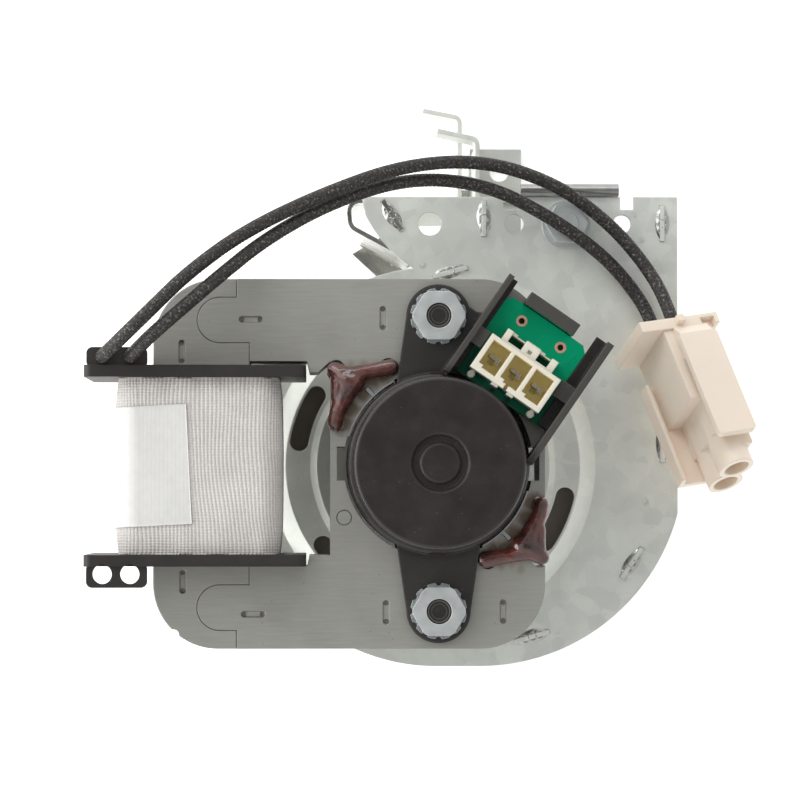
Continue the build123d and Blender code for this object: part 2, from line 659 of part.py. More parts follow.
def board_header():
    """A three-way header: an open box with cells, and a latch wall with two ears, a ramp and windows."""
    a0, b0, a1, b1 = HEADER
    low = BOARD_Z[1]
    shape = block(a0, b0, low, a1, b1, HEADER_TOP)
    for a in header_cells():
        shape -= block(a - 1.72, b0 + 1.35, low + 1.4, a + 1.72, b1 - 0.75, HEADER_TOP + 1)
        shape -= block(a - 0.9, b0 + 0.85, low + 1.4, a + 1.72, b0 + 1.4, HEADER_TOP + 1)
    middle = header_cells()[1]
    shape -= block(middle - 0.3, b0 - 0.1, low + 1.4, middle + 0.3, b0 + 0.9, HEADER_TOP + 1)
    for a in (0.1, 3.1):
        shape += block(a - 0.6, b0 - 0.45, low, a + 0.6, b0 + 0.1, HEADER_TOP - 0.6)
    shape += block(EARS[0], b1 - 0.1, low, EARS[1], b1 + LATCH_OUT, HEADER_TOP - 0.5)
    for x0, x1 in LATCH_WINDOWS:
        shape -= block(x0, b1 + 0.3, low - 1, x1, b1 + LATCH_OUT - 0.5, HEADER_TOP + 1)
        shape -= block(x0 + 0.9, b1 + LATCH_OUT - 0.3, low - 1, x1, b1 + LATCH_OUT + 1, HEADER_TOP + 1)
        shape -= block(x0, b1 + 0.3, HEADER_TOP - 1.6, x1, b1 + LATCH_OUT + 1, HEADER_TOP + 1)
    ramp = [(b1 + 0.25, low + 3.0), (b1 + 0.25, HEADER_TOP - 0.5), (b1 + 1.3, HEADER_TOP - 0.5)]
    ramp = polygon([*ramp, (b1 + LATCH_OUT + 0.2, HEADER_TOP - 1.8), (b1 + LATCH_OUT, low + 3.0)])
    shape += Pos(middle - 1.3, 0, 0) * extrude(Plane.YZ * ramp, 2.6)
    shape -= block(middle - 0.35, b1 + 0.5, HEADER_TOP - 1.1, middle + 0.35, b1 + 1.1, HEADER_TOP)
    for a in header_cells():
        shape -= block(a - 0.95, pin_line() - 0.3, 60, a + 0.95, pin_line() + 0.3, low + 2)
        shape -= block(a - 0.6, pin_line() - 1.2, low + 0.9, a + 0.4, pin_line() - 0.3, low + 2)
    for a in (a0 + 0.9, a1 - 0.9):
        shape += rod(a, b0 - 0.75, low, low + 3.2, 0.62)
        shape += block(a - 0.3, b0 - 0.8, low, a + 0.3, b0 + 0.1, low + 3.2)
    return on_board(shape)


def pin_line():
    return (HEADER[1] + HEADER[3]) / 2 + 0.2


def header_pins():
    """Flat blades with a notched tip, each with a spring tongue beside it."""
    b, low = pin_line(), BOARD_Z[1]
    pins = []
    for a in header_cells():
        pin = block(a - 0.9, b - 0.27, low, a + 0.9, b + 0.27, HEADER_TOP - 2.0)
        pin -= block(a - 0.35, b - 1, HEADER_TOP - 2.9, a + 0.35, b + 1, HEADER_TOP)
        pin += block(a + 0.35, b - 0.75, low + 1.45, a + 1.15, b + 0.27, HEADER_TOP - 3.4)
        pins.append(on_board(pin))
    return group(pins)


def hall_sensor():
    body = block(-0.2, 15.5, STACK_HIGH + 0.4, 3.9, 18.3, BOARD_Z[0])
    return on_board(chamfer(body.edges().filter_by(Axis.Z), 0.4))


def board_pegs():
    """Two heat-staked pegs that fix the board to its pocket."""
    return group(
        on_board(rod(a, 14.85, BOARD_Z[1], BOARD_Z[1] + 0.35, 0.35)) for a in (0.4, 3.4)
    )


# ---------------------------------------------------------------- rotor and impeller
def rotor_core():
    core = tube(0, 0, STACK_LOW, STACK_HIGH, ROTOR_R, SHAFT_R)
    for i in range(BAR_COUNT):
        x, y = polar(BAR_CIRCLE_R, i * 360 / BAR_COUNT)
        core -= rod(x, y, STACK_LOW - 1, STACK_HIGH + 1, BAR_R)
    return core


def rotor_cage():
    """The cast end rings and the bars between them."""
    cage = tube(0, 0, STACK_LOW - 1.6, STACK_LOW, 13.2, 9.0)
    cage += tube(0, 0, STACK_HIGH, STACK_HIGH + 1.6, 13.2, 9.0)
    for i in range(BAR_COUNT):
        x, y = polar(BAR_CIRCLE_R, i * 360 / BAR_COUNT)
        cage += rod(x, y, STACK_LOW - 1, STACK_HIGH + 1, BAR_R)
    return cage


def impeller_blades():
    """Forward-curved blades between the backplate and the rim."""
    blades = []
    bow = ThreePointArc((BLADE_ROOT_R + 0.1, 0), (23.9, 1.35), (IMPELLER_R - 0.3, 0.4))
    face = trace(bow, line_width=BLADE_THICK)
    blade = prism(face, RIM_Z[1], BACKPLATE_Z[0])
    for i in range(BLADE_COUNT):
        blades.append(Rot(0, 0, i * 360 / BLADE_COUNT) * blade)
    return group(blades)


def impeller_hub():
    hub = rod(0, 0, 21.0, BACKPLATE_Z[0], 5.0) + rod(0, 0, BACKPLATE_Z[0] - 1.2, BACKPLATE_Z[0], 9.0)
    hub += rod(0, 0, BACKPLATE_Z[0], BACKPLATE_Z[1] + 0.5, 3.9)
    hub -= rod(0, 0, 10, 40, SHAFT_R)
    return hub - Pos(4.0, 0, 25.0) * Rot(0, 90, 0) * Cylinder(1.3, 4.0)


def rotor_parts():
    shaft = chamfer(rod(0, 0, 19.0, 78.0, SHAFT_R).edges().filter_by(GeomType.CIRCLE), 0.4)
    magnet = tube(0, 0, STACK_HIGH + 1.7, 72.8, 8.6, SHAFT_R)
    washers = group(tube(0, 0, z, z + 0.5, 4.0, SHAFT_R + 0.03) for z in (49.0, 72.95))
    backplate = tube(0, 0, *BACKPLATE_Z, IMPELLER_R + 0.2, 3.95)
    rim = tube(0, 0, *RIM_Z, IMPELLER_R + 0.2, BLADE_ROOT_R - 0.4)
    screw = Pos(3.75, 0, 25.0) * Rot(0, 90, 0) * Cylinder(1.28, 2.6)
    screw -= Pos(5.0, 0, 25.0) * Rot(0, 90, 0) * extrude(RegularPolygon(0.65, 6), 1.2, both=True)
    return shaft, magnet, washers, backplate, rim, screw


# ---------------------------------------------------------------- leads and plug
def plug_plane():
    """The plug's own axes: X across its face, Y out of its latch side, Z towards its mating end."""
    heading, pitch, roll = (math.radians(v) for v in (PLUG_HEADING, PLUG_PITCH, PLUG_ROLL))
    level = Vector(math.cos(heading), math.sin(heading), 0)
    sideways = Vector(-math.sin(heading), math.cos(heading), 0)
    upright = level * -math.sin(pitch) + Vector(0, 0, math.cos(pitch))
    forward = level * math.cos(pitch) + Vector(0, 0, math.sin(pitch))
    across = sideways * math.cos(roll) - upright * math.sin(roll)
    return Plane(origin=PLUG_CORNER, x_dir=across, z_dir=forward)


def plug_housing():
    deep = -PLUG_DEEP
    shape = block(0, deep, 0, PLUG_WIDE, 0, 2.0)
    shape += block(6.7, 0, 0.2, 8.0, 1.3, 1.5)
    shape -= block(11.6, -1.4, 0.7, 14.2, 1, 3.0)
    shape += block(4.15, deep, 1.5, 13.0, -0.5, 15.5)
    shape += block(6.6, deep, 15.0, 12.6, -1.4, 22.0)
    shape += block(2.2, deep, 7.0, 12.8, deep + 1.1, 26.0)
    shape += block(2.2, deep, 7.0, 3.0, deep + 2.6, 26.0)
    for a, b in BARRELS:
        shape += rod(a, b, 2.0, BARREL_END, BARREL_R)
        shape += block(a, b - BARREL_R, 2.0, a + BARREL_R, b + BARREL_R, BARREL_END - 3.0)
    for a, b in BARRELS:
        shape -= rod(a, b, 19.0, BARREL_END + 1, 2.15)
    for a, b in WIRE_ENTRIES:
        shape -= rod(a, b, -1.0, 1.2, 1.7)
    shape -= block(4.9, deep + 1.2, 3.0, 6.4, -1.4, 13.0)
    latch = block(5.5, 0.5, 4.0, 12.7, 1.7, 24.0)
    latch = fillet(latch.edges().filter_by(Axis.Y), 0.8)
    hinge = polygon([(-0.6, 2.0), (-0.6, 8.0), (0.6, 8.0), (0.6, 5.5), (1.6, 5.5), (1.6, 4.2), (0, 2.0)])
    root = Pos(5.9, 0, 0) * extrude(Plane.YZ * hinge, 6.4)
    return plug_plane().location * (shape + latch + root)


def plug_contacts():
    pins = []
    for a, b in BARRELS:
        pin = rod(a, b, 19.0, 25.0, 1.0)
        pins.append(plug_plane().location * fillet(pin.edges().sort_by(Axis.Z)[-1], 0.6))
    return group(pins)


def entry_point(index):
    a, b = WIRE_ENTRIES[index]
    point = plug_plane().from_local_coords((a, b, 1.2))
    return (point.X, point.Y, point.Z)


LEAD_A = [
    (-55.1, 17.3, 76.6), (-53.8, 18.3, 79.9), (-51.1, 20.7, 82.7), (-46.4, 25.2, 83.8),
    (-41.0, 30.7, 81.7), (-32.0, 37.9, 75.0), (-19.2, 44.9, 64.4), (-5.1, 50.8, 53.0),
    (8.9, 52.2, 45.4), (21.4, 48.3, 42.6), (30.5, 41.7, 40.6), (36.6, 34.8, 39.8), (40.1, 28.3, 42.6),
]
LEAD_B = [
    (-50.5, 17.3, 76.6), (-49.1, 18.6, 79.85), (-46.2, 21.2, 82.5), (-41.4, 25.3, 82.9),
    (-35.7, 30.5, 79.3), (-28.1, 37.2, 71.5), (-17.3, 44.0, 60.3), (-4.1, 48.9, 49.8),
    (9.1, 48.2, 43.9), (20.0, 42.7, 43.2), (28.6, 36.9, 40.2), (33.7, 31.8, 38.4), (37.8, 25.5, 39.3),
]


def lead(points, end):
    """A lead: straight runs joined by tangent arcs. Returns the tube and its length."""
    route = [Vector(*p) for p in [*points, end]]
    radii = []
    for before, here, after in zip(route, route[1:], route[2:]):
        first, second = here - before, after - here
        turn = math.radians(first.get_angle(second))
        radii.append(0.45 * min(first.length, second.length) / math.tan(turn / 2))
    line = FilletPolyline(*route, radius=radii)
    disc = Plane(origin=line @ 0, z_dir=line % 0) * Circle(LEAD_D / 2)
    solid = sweep(disc, path=line)
    length = sum(e.length for e in line.edges())
    share = solid.volume / (math.pi * (LEAD_D / 2) ** 2 * length)
    print("radii", [round(r, 1) for r in radii], "length", round(length, 1), "volume share", round(share, 4))
    return solid


# ---------------------------------------------------------------- write the parts
def main():
    os.makedirs("parts", exist_ok=True)
    save(front_plate(), "front_plate")
    save(rear_plate(), "rear_plate")
    save(scroll_wrapper(), "scroll_wrapper")
    save(side_clip(), "side_clip")
    save(hook_bracket(), "hook_bracket")
    save(outlet_clip(), "outlet_clip")
    screw, nut = clip_fastener()
    save(screw, "clip_screw")
    save(nut, "clip_nut")
    yoke, leg = stator_iron()
    save(yoke, "stator_core")
    save(leg, "coil_core")
    coil_a, coil_b = both_ends(shading_coil())
    save(coil_a, "shading_coil_a")
    save(coil_b, "shading_coil_b")
    save(group(both_ends(pole_bridge())), "pole_bridges")
    save(bobbin(), "bobbin")
    winding, tape, label = coil_parts()
    save(winding, "coil_winding")
    save(tape, "coil_tape")
    save(label, "coil_label")
    save(coil_terminals(), "coil_terminals")
    save(upper_bracket(), "upper_bracket")
    save(lower_bracket(), "lower_bracket")
    save(bearing(CAP_TOP), "upper_bearing")
    save(felt(CAP_TOP), "upper_felt")
    save(retainer(CAP_TOP), "upper_retainer")
    save(mirrored(bearing(CAP_TOP - LOWER_CAP)), "lower_bearing")
    save(mirrored(felt(CAP_TOP - LOWER_CAP)), "lower_felt")
    save(mirrored(retainer(CAP_TOP - LOWER_CAP)), "lower_retainer")
    studs, nuts, washers, spacers = stud_set()
    save(studs, "through_studs")
    save(nuts, "stud_nuts")
    save(washers, "lock_washers")
    save(spacers, "mount_standoffs")
    save(sensor_board(), "sensor_board")
    save(board_eyelets(), "board_eyelets")
    save(board_header(), "board_header")
    save(header_pins(), "header_pins")
    save(hall_sensor(), "hall_sensor")
    save(board_pegs(), "board_pegs")
    shaft, magnet, thrust, backplate, rim, hub_screw = rotor_parts()
    save(shaft, "shaft")
    save(rotor_core(), "rotor_core")
    save(rotor_cage(), "rotor_cage")
    save(magnet, "magnet_ring")
    save(thrust, "thrust_washers")
    save(impeller_hub(), "impeller_hub")
    save(backplate, "impeller_backplate")
    save(impeller_blades(), "impeller_blades")
    save(rim, "impeller_rim")
    save(hub_screw, "hub_screw")
    save(plug_housing(), "plug_housing")
    save(plug_contacts(), "plug_contacts")
    save(lead(LEAD_A, entry_point(0)), "lead_a")
    save(lead(LEAD_B, entry_point(1)), "lead_b")


main()
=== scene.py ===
"""Looks of the combustion fan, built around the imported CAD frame.

Blender units are metres. Sizes below are in millimetres where a name ends in _MM or a value is
multiplied by MM. Every position is in the row frame: +Z along the shaft, the fan lies on z = 0.
"""

import math

import bmesh
import bpy
import numpy as np
from mathutils import Matrix, Vector, noise


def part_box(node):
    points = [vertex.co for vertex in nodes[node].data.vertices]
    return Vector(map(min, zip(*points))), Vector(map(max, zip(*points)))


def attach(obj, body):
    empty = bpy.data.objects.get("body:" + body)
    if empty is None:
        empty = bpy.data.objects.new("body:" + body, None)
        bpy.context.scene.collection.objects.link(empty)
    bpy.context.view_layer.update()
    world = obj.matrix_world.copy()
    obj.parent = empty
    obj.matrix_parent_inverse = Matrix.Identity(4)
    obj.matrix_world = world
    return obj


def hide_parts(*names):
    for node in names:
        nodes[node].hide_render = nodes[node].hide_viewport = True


MM = 0.001
HOUSING = "housing"
BOARD_TURN = math.radians(34.5)     # from the row frame's axes to the sensor board's sides

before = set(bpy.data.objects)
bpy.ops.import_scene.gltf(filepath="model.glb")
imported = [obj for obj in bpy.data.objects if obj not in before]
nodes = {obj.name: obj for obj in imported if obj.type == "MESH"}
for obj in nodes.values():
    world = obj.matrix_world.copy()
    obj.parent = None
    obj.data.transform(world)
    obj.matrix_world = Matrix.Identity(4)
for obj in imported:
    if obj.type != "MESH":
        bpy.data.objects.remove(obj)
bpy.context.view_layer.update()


# ---------------------------------------------------------------- camera, light and floor
CAMERA_AT = Vector((-20.3, -6.8, 730.0)) * MM
CAMERA_LOOKS_AT = Vector((-6.3, 10.5, 69.0)) * MM
CAMERA_LENS_MM = 180.3
SENSOR_WIDTH_MM = 36.0
LIGHTS_AIM_AT = Vector((0.0, 0.0, 0.05))
FLOOR_HALF = 3.0
# Name, place and size in metres, and power in watts, of each softbox.
SOFTBOXES = [
    ("key", (-0.8, 0.5, 0.9), (0.9, 0.9), 3.0),
    ("strip_left", (-1.1, -0.15, 0.4), (1.2, 0.25), 5.5),
    ("strip_top", (-0.1, 0.5, 0.42), (0.6, 0.12), 0.7),
]
# Brightness of the light tent by height of the direction: 0 at the sides, 1 straight above.
TENT = [(0.0, 0.95), (0.5, 0.95), (0.78, 0.82), (0.93, 0.5), (0.98, 0.22), (1.0, 0.16)]
TENT_LEAN = -0.3    # change of its brightness from the middle to the right edge


def add_camera():
    data = bpy.data.cameras.new("camera")
    data.lens = CAMERA_LENS_MM
    data.sensor_width = SENSOR_WIDTH_MM
    data.clip_start = 0.01
    data.clip_end = 20.0
    camera = bpy.data.objects.new("camera", data)
    camera.location = CAMERA_AT
    straight_down = Vector((0, 0, -1))
    camera.rotation_euler = straight_down.rotation_difference(CAMERA_LOOKS_AT - CAMERA_AT).to_euler()
    bpy.context.collection.objects.link(camera)
    bpy.context.scene.camera = camera


def add_softbox(name, at, size, power):
    data = bpy.data.lights.new(name, "AREA")
    data.shape = "RECTANGLE"
    data.size, data.size_y = size
    data.energy = power
    light = bpy.data.objects.new(name, data)
    light.location = at
    light.rotation_euler = (LIGHTS_AIM_AT - Vector(at)).to_track_quat("-Z", "Y").to_euler()
    bpy.context.collection.objects.link(light)


def add_world():
    """A light tent: bright all round, more so on the left, and dark above at the camera's opening."""
    world = bpy.data.worlds.new("studio")
    world.use_nodes = True
    tree = world.node_tree
    way = tree.nodes.new("ShaderNodeTexCoord")
    split = tree.nodes.new("ShaderNodeSeparateXYZ")
    tree.links.new(way.outputs["Generated"], split.inputs[0])
    ramp = tree.nodes.new("ShaderNodeValToRGB")
    tree.links.new(split.outputs["Z"], ramp.inputs["Fac"])
    while len(ramp.color_ramp.elements) < len(TENT):
        ramp.color_ramp.elements.new(0.5)
    for element, (height, light) in zip(ramp.color_ramp.elements, TENT):
        element.position = height
        element.color = (light, light, light, 1.0)
    lean = tree.nodes.new("ShaderNodeMath")
    lean.operation = "MULTIPLY_ADD"
    tree.links.new(split.outputs["X"], lean.inputs[0])
    lean.inputs[1].default_value = TENT_LEAN
    lean.inputs[2].default_value = 1.0
    back = tree.nodes["Background"]
    tree.links.new(ramp.outputs["Color"], back.inputs["Color"])
    tree.links.new(lean.outputs["Value"], back.inputs["Strength"])
    bpy.context.scene.world = world


def add_floor():
    mesh = bpy.data.meshes.new("floor")
    corners = [(x * FLOOR_HALF, y * FLOOR_HALF, 0) for x, y in ((-1, -1), (1, -1), (1, 1), (-1, 1))]
    mesh.from_pydata(corners, [], [(0, 1, 2, 3)])
    floor = bpy.data.objects.new("floor", mesh)
    bpy.context.collection.objects.link(floor)
    paint = bpy.data.materials.new("floor_white")
    paint.use_nodes = True
    shader = paint.node_tree.nodes["Principled BSDF"]
    shader.inputs["Base Color"].default_value = (0.93, 0.93, 0.93, 1)
    shader.inputs["Roughness"].default_value = 0.9
    shader.inputs["Emission Color"].default_value = (1, 1, 1, 1)
    shader.inputs["Emission Strength"].default_value = 0.45
    floor.data.materials.append(paint)


# ---------------------------------------------------------------- material kit
NOISE_ROUGHNESS = 0.55
BEVEL_SAMPLES = 4
SPOT_RAG_MM = 1.6       # size of the bays in a spot's rim, and how far they reach
MIX_A, MIX_B, MIX_RESULT = 6, 7, 2      # sockets of the Mix node that carry colours


class Graph:
    """A short way to write a node material. Coordinates are the row frame, in metres."""

    def __init__(self, name, rough, metal=0.0, **sockets):
        self.mat = bpy.data.materials.new(name)
        self.mat.use_nodes = True
        self.tree = self.mat.node_tree
        self.shader = self.tree.nodes["Principled BSDF"]
        self.put("Roughness", rough)
        self.put("Metallic", metal)
        for key, value in sockets.items():
            self.put(key.replace("_", " "), value)
        self.where = self.add("ShaderNodeTexCoord").outputs["Object"]
        self.normal = None

    @classmethod
    def reopened(cls, mat):
        """A graph that goes on with a finished material, and the socket that colours it so far."""
        graph = cls.__new__(cls)
        graph.mat, graph.tree = mat, mat.node_tree
        graph.shader = graph.tree.nodes["Principled BSDF"]
        graph.where = graph.tree.nodes["Texture Coordinate"].outputs["Object"]
        return graph, graph.shader.inputs["Base Color"].links[0].from_socket

    def put(self, socket, value):
        """Sets or links one of the shader's sockets."""
        if isinstance(value, bpy.types.NodeSocket):
            self.tree.links.new(value, self.shader.inputs[socket])
        else:
            self.shader.inputs[socket].default_value = value

    def add(self, kind, **values):
        node = self.tree.nodes.new(kind)
        for key, value in values.items():
            setattr(node, key, value)
        return node

    def feed(self, node, socket, value):
        if isinstance(value, bpy.types.NodeSocket):
            self.tree.links.new(value, node.inputs[socket])
        else:
            node.inputs[socket].default_value = value
        return node

    def stretched(self, scale, turn=0.0):
        """The coordinates scaled, and then turned about Z by an angle in radians."""
        node = self.add("ShaderNodeMapping")
        self.feed(node, "Vector", self.where)
        node.inputs["Scale"].default_value = scale
        node.inputs["Rotation"].default_value = (0, 0, turn)
        return node.outputs["Vector"]

    def noise(self, size_mm, detail=3.0, vector=None):
        node = self.add("ShaderNodeTexNoise")
        self.feed(node, "Vector", vector or self.where)
        node.inputs["Scale"].default_value = 1.0 / (size_mm * MM)
        node.inputs["Detail"].default_value = detail
        node.inputs["Roughness"].default_value = NOISE_ROUGHNESS
        return node.outputs["Fac"]

    def cells(self, size_mm, feature="F1", output="Distance", vector=None, randomness=1.0):
        node = self.add("ShaderNodeTexVoronoi", feature=feature)
        self.feed(node, "Vector", vector or self.where)
        node.inputs["Scale"].default_value = 1.0 / (size_mm * MM)
        node.inputs["Randomness"].default_value = randomness
        return node.outputs[output]

    def math(self, operation, a, b=0.0, c=0.0):
        node = self.add("ShaderNodeMath", operation=operation)
        for index, value in enumerate((a, b, c)):
            self.feed(node, index, value)
        return node.outputs["Value"]

    def axis(self, name, vector=None):
        node = self.add("ShaderNodeSeparateXYZ")
        self.feed(node, "Vector", vector or self.where)
        return node.outputs[name]

    def zigzag(self, value, period):
        """A line that climbs from 0 to 0.5 and falls back over each period, in metres."""
        return self.math("PINGPONG", self.math("MULTIPLY", value, 1 / period), 0.5)

    def from_axis(self):
        """Distance from the shaft's line."""
        squares = [self.math("POWER", self.axis(name), 2.0) for name in ("X", "Y")]
        return self.math("SQRT", self.math("ADD", *squares))

    def remap(self, value, low, high, to_low=0.0, to_high=1.0):
        node = self.add("ShaderNodeMapRange")
        for index, item in enumerate((value, low, high, to_low, to_high)):
            self.feed(node, index, item)
        return node.outputs["Result"]

    def ramp(self, value, stops):
        node = self.add("ShaderNodeValToRGB")
        self.feed(node, "Fac", value)
        ramp = node.color_ramp
        while len(ramp.elements) < len(stops):
            ramp.elements.new(0.5)
        for element, (place, color) in zip(ramp.elements, stops):
            element.position = place
            element.color = (*color, 1.0)
        return node.outputs["Color"]

    def mix(self, share, a, b):
        """Colour a where share is 0, and b where it is 1."""
        node = self.add("ShaderNodeMix", data_type="RGBA")
        self.feed(node, 0, share)
        for index, value in ((MIX_A, a), (MIX_B, b)):
            self.feed(node, index, (*value, 1.0) if isinstance(value, tuple) else value)
        return node.outputs[MIX_RESULT]

    def spots(self, places, radius_mm, soft_mm=0.6):
        """1 within a radius of any of the places, in millimetres, falling to 0 past it."""
        best = None
        for place in places:
            node = self.add("ShaderNodeVectorMath", operation="DISTANCE")
            self.feed(node, 0, self.where)
            node.inputs[1].default_value = tuple(v * MM for v in place)
            gap = node.outputs["Value"]
            best = gap if best is None else self.math("MINIMUM", best, gap)
        ragged = self.math("MULTIPLY_ADD", self.noise(SPOT_RAG_MM, 3), SPOT_RAG_MM * MM, best)
        edge = (radius_mm + SPOT_RAG_MM / 2) * MM
        return self.remap(ragged, edge, edge - soft_mm * MM)

    def bevel(self, radius_mm):
        node = self.add("ShaderNodeBevel")
        node.samples = BEVEL_SAMPLES
        node.inputs["Radius"].default_value = radius_mm * MM
        self.normal = node.outputs["Normal"]

    def bump(self, height, depth_mm, strength=1.0):
        node = self.add("ShaderNodeBump")
        node.inputs["Distance"].default_value = depth_mm * MM
        node.inputs["Strength"].default_value = strength
        self.feed(node, "Height", height)
        if self.normal is not None:
            self.feed(node, "Normal", self.normal)
        self.normal = node.outputs["Normal"]

    def done(self):
        if self.normal is not None:
            self.put("Normal", self.normal)
        return self.mat


def shades(color, *factors):
    """The colour made darker or lighter by each factor."""
    return [tuple(min(c * f, 1) for c in color) for f in factors]


# ---------------------------------------------------------------- metals
def galvanised(name="galvanised", color=(0.80, 0.82, 0.77), rough=0.42, metal=0.5):
    g = Graph(name, rough, metal)
    g.bevel(0.25)
    spangle = g.cells(2.4, vector=g.stretched((1, 1, 0.6)), output="Color")
    cloud = g.noise(7.0, 4)
    share = g.math("MULTIPLY", g.axis("X", spangle), 0.3)
    tone = g.math("ADD", share, g.math("MULTIPLY", cloud, 0.7))
    dark, light, frosted = shades(color, 0.93, 1.05, 0.88)
    frost = g.noise(0.5, 4)
    base = g.mix(g.remap(tone, 0.3, 0.75), dark, light)
    base = g.mix(g.remap(frost, 0.62, 0.75), base, frosted)
    g.put("Base Color", base)
    g.put("Roughness", g.remap(tone, 0.3, 0.75, rough - 0.04, rough + 0.06))
    g.bump(g.noise(0.35, 4), 0.012)
    g.bump(g.noise(9.0, 2), 0.12, 0.6)
    return g.done()


# Places in millimetres: X, Y and the height of the rear plate's face.
PLATE_Z_MM = 36.6
PLATE_SCUFFS = [(x, y, PLATE_Z_MM) for x, y in (
    (34.9, 43.2), (36.4, 39.2), (-1.6, 34.6), (36.4, -14.6), (21.9, -29.4), (36.9, -6.2), (33.6, -19.4))]
PLATE_SCRATCH = [(x, y, PLATE_Z_MM) for x, y in ((6.6, 33.5), (9.6, 32.7), (12.2, 32.9))]


def scuffed_plate():
    """The rear plate: galvanised steel, tool scuffs beside the staked tabs and a scratch above the stack."""
    g, before = Graph.reopened(galvanised("galvanised_plate"))
    scuff = g.spots(PLATE_SCUFFS, 0.85, 0.9)
    scratch_shape = g.math("PINGPONG", g.noise(2.2, 2, vector=g.stretched((1.0, 5.0, 1), 0.5)), 0.5)
    gate = g.spots(PLATE_SCRATCH, 1.5, 1.4)
    line = g.math("MULTIPLY", g.remap(scratch_shape, 0.485, 0.5), gate)
    mask = g.math("MULTIPLY", g.math("MAXIMUM", scuff, line), g.remap(g.noise(0.8, 3), 0.42, 0.6))
    g.put("Base Color", g.mix(g.math("MULTIPLY", mask, 0.7), before, (0.2, 0.2, 0.18)))
    return g.mat


SHEET = 0.5 * MM    # thickness of one lamination


def laminations(name, color=(0.43, 0.427, 0.39), stain=()):
    """A stack of punched sheets: satin faces, fine lines round the sides, and any stains on the face."""
    g = Graph(name, 0.46, 0.75)
    g.bevel(0.12)
    grain = g.noise(0.6, 4, vector=g.stretched((0.12, 1.6, 1)))
    cloud = g.noise(11.0, 3)
    base = g.mix(g.remap(grain, 0.35, 0.7), *shades(color, 0.93, 1.05))
    duller = tuple(c * f for c, f in zip(color, (0.9, 0.9, 0.92)))
    base = g.mix(g.remap(cloud, 0.4, 0.7, 0.0, 0.55), base, duller)
    speck = g.remap(g.cells(2.6), 0.06, 0.03)
    base = g.mix(g.math("MULTIPLY", speck, 0.45), base, (0.12, 0.11, 0.1))
    face = g.add("ShaderNodeNewGeometry")
    side = g.math("SUBTRACT", 1.0, g.math("ABSOLUTE", g.axis("Z", face.outputs["Normal"])))
    seam = g.math("MULTIPLY", g.remap(g.zigzag(g.axis("Z"), SHEET), 0.1, 0.02), g.remap(side, 0.3, 0.7))
    base = g.mix(g.math("MULTIPLY", seam, 0.65), base, (0.05, 0.045, 0.04))
    for places, radius, tint, share in stain:
        mask = g.spots(places, radius, 1.4)
        base = g.mix(g.math("MULTIPLY", mask, share), base, tint)
    g.put("Base Color", base)
    g.put("Roughness", g.remap(cloud, 0.3, 0.7, 0.4, 0.54))
    g.bump(g.math("MULTIPLY", seam, -1.0), 0.12)
    g.bump(grain, 0.01)
    return g.done()


def bright_zinc(name="bright_zinc", color=(0.74, 0.785, 0.78), rough=0.3):
    g = Graph(name, rough, 0.75)
    g.bevel(0.18)
    wear = g.noise(2.2, 3)
    g.put("Base Color", g.ramp(wear, [(0.3, *shades(color, 0.92)), (0.7, color)]))
    g.put("Roughness", g.remap(wear, 0.3, 0.7, rough, rough + 0.1))
    g.bump(g.noise(0.6, 3), 0.006)
    return g.done()


STUD_Y_MM = 24.25
STUD_REACH = 2.5 * MM       # what the last of the stud ends' painted rings stands for
STUD_THREAD = 0.6 * MM      # spacing of the turned lines
# Rings painted round each stud's end, by share of STUD_REACH: the bright ones are painted highlights on the
# rim.
STUD_END_HIGHLIGHT_RINGS = [
    (0.0, (0.05, 0.047, 0.043)), (0.44, (0.045, 0.042, 0.039)), (0.5, (0.15, 0.14, 0.125)),
    (0.56, (0.035, 0.033, 0.03)), (0.64, (0.05, 0.046, 0.042)), (0.7, (0.3, 0.28, 0.25)),
    (0.76, (0.012, 0.011, 0.01)),
]


def black_steel():
    """Blackened steel with turned lines. The bright rings on the studs' ends are painted highlights on their
    rounded rims.
    """
    g = Graph("black_steel", 0.36, 0.6)
    g.bevel(0.2)
    gap = None
    for side in (-1, 1):
        across = g.math("POWER", g.axis("X"), 2.0)
        along = g.math("POWER", g.math("SUBTRACT", g.axis("Y"), side * STUD_Y_MM * MM), 2.0)
        reach = g.math("SQRT", g.math("ADD", across, along))
        gap = reach if gap is None else g.math("MINIMUM", gap, reach)
    # painted highlight rings round each stud's axis
    painted_highlight_rings = g.ramp(g.remap(gap, 0.0, STUD_REACH), STUD_END_HIGHLIGHT_RINGS)
    grime = g.ramp(g.noise(0.9, 3), [(0.35, (0.02, 0.018, 0.017)), (0.7, (0.07, 0.065, 0.06))])
    g.put("Base Color", g.mix(0.75, grime, painted_highlight_rings))
    g.bump(g.zigzag(g.axis("Z"), STUD_THREAD), 0.12)
    return g.done()


def plain_metal(name, color, rough, grain_mm=0.5):
    g = Graph(name, rough, 1.0)
    g.bevel(0.1)
    g.put("Base Color", g.ramp(g.noise(2.0, 3), [(0.3, *shades(color, 0.8)), (0.7, color)]))
    g.bump(g.noise(grain_mm, 3), 0.01)
    return g.done()


# ---------------------------------------------------------------- plastics, varnish, board
CAP_EDGE = (15.0 * MM, 16.2 * MM)       # where the cap ends and its ears and rails begin
EARS_BELOW = (72.0 * MM, 71.0 * MM)
RAILS_ABOVE = (74.0 * MM, 75.0 * MM)


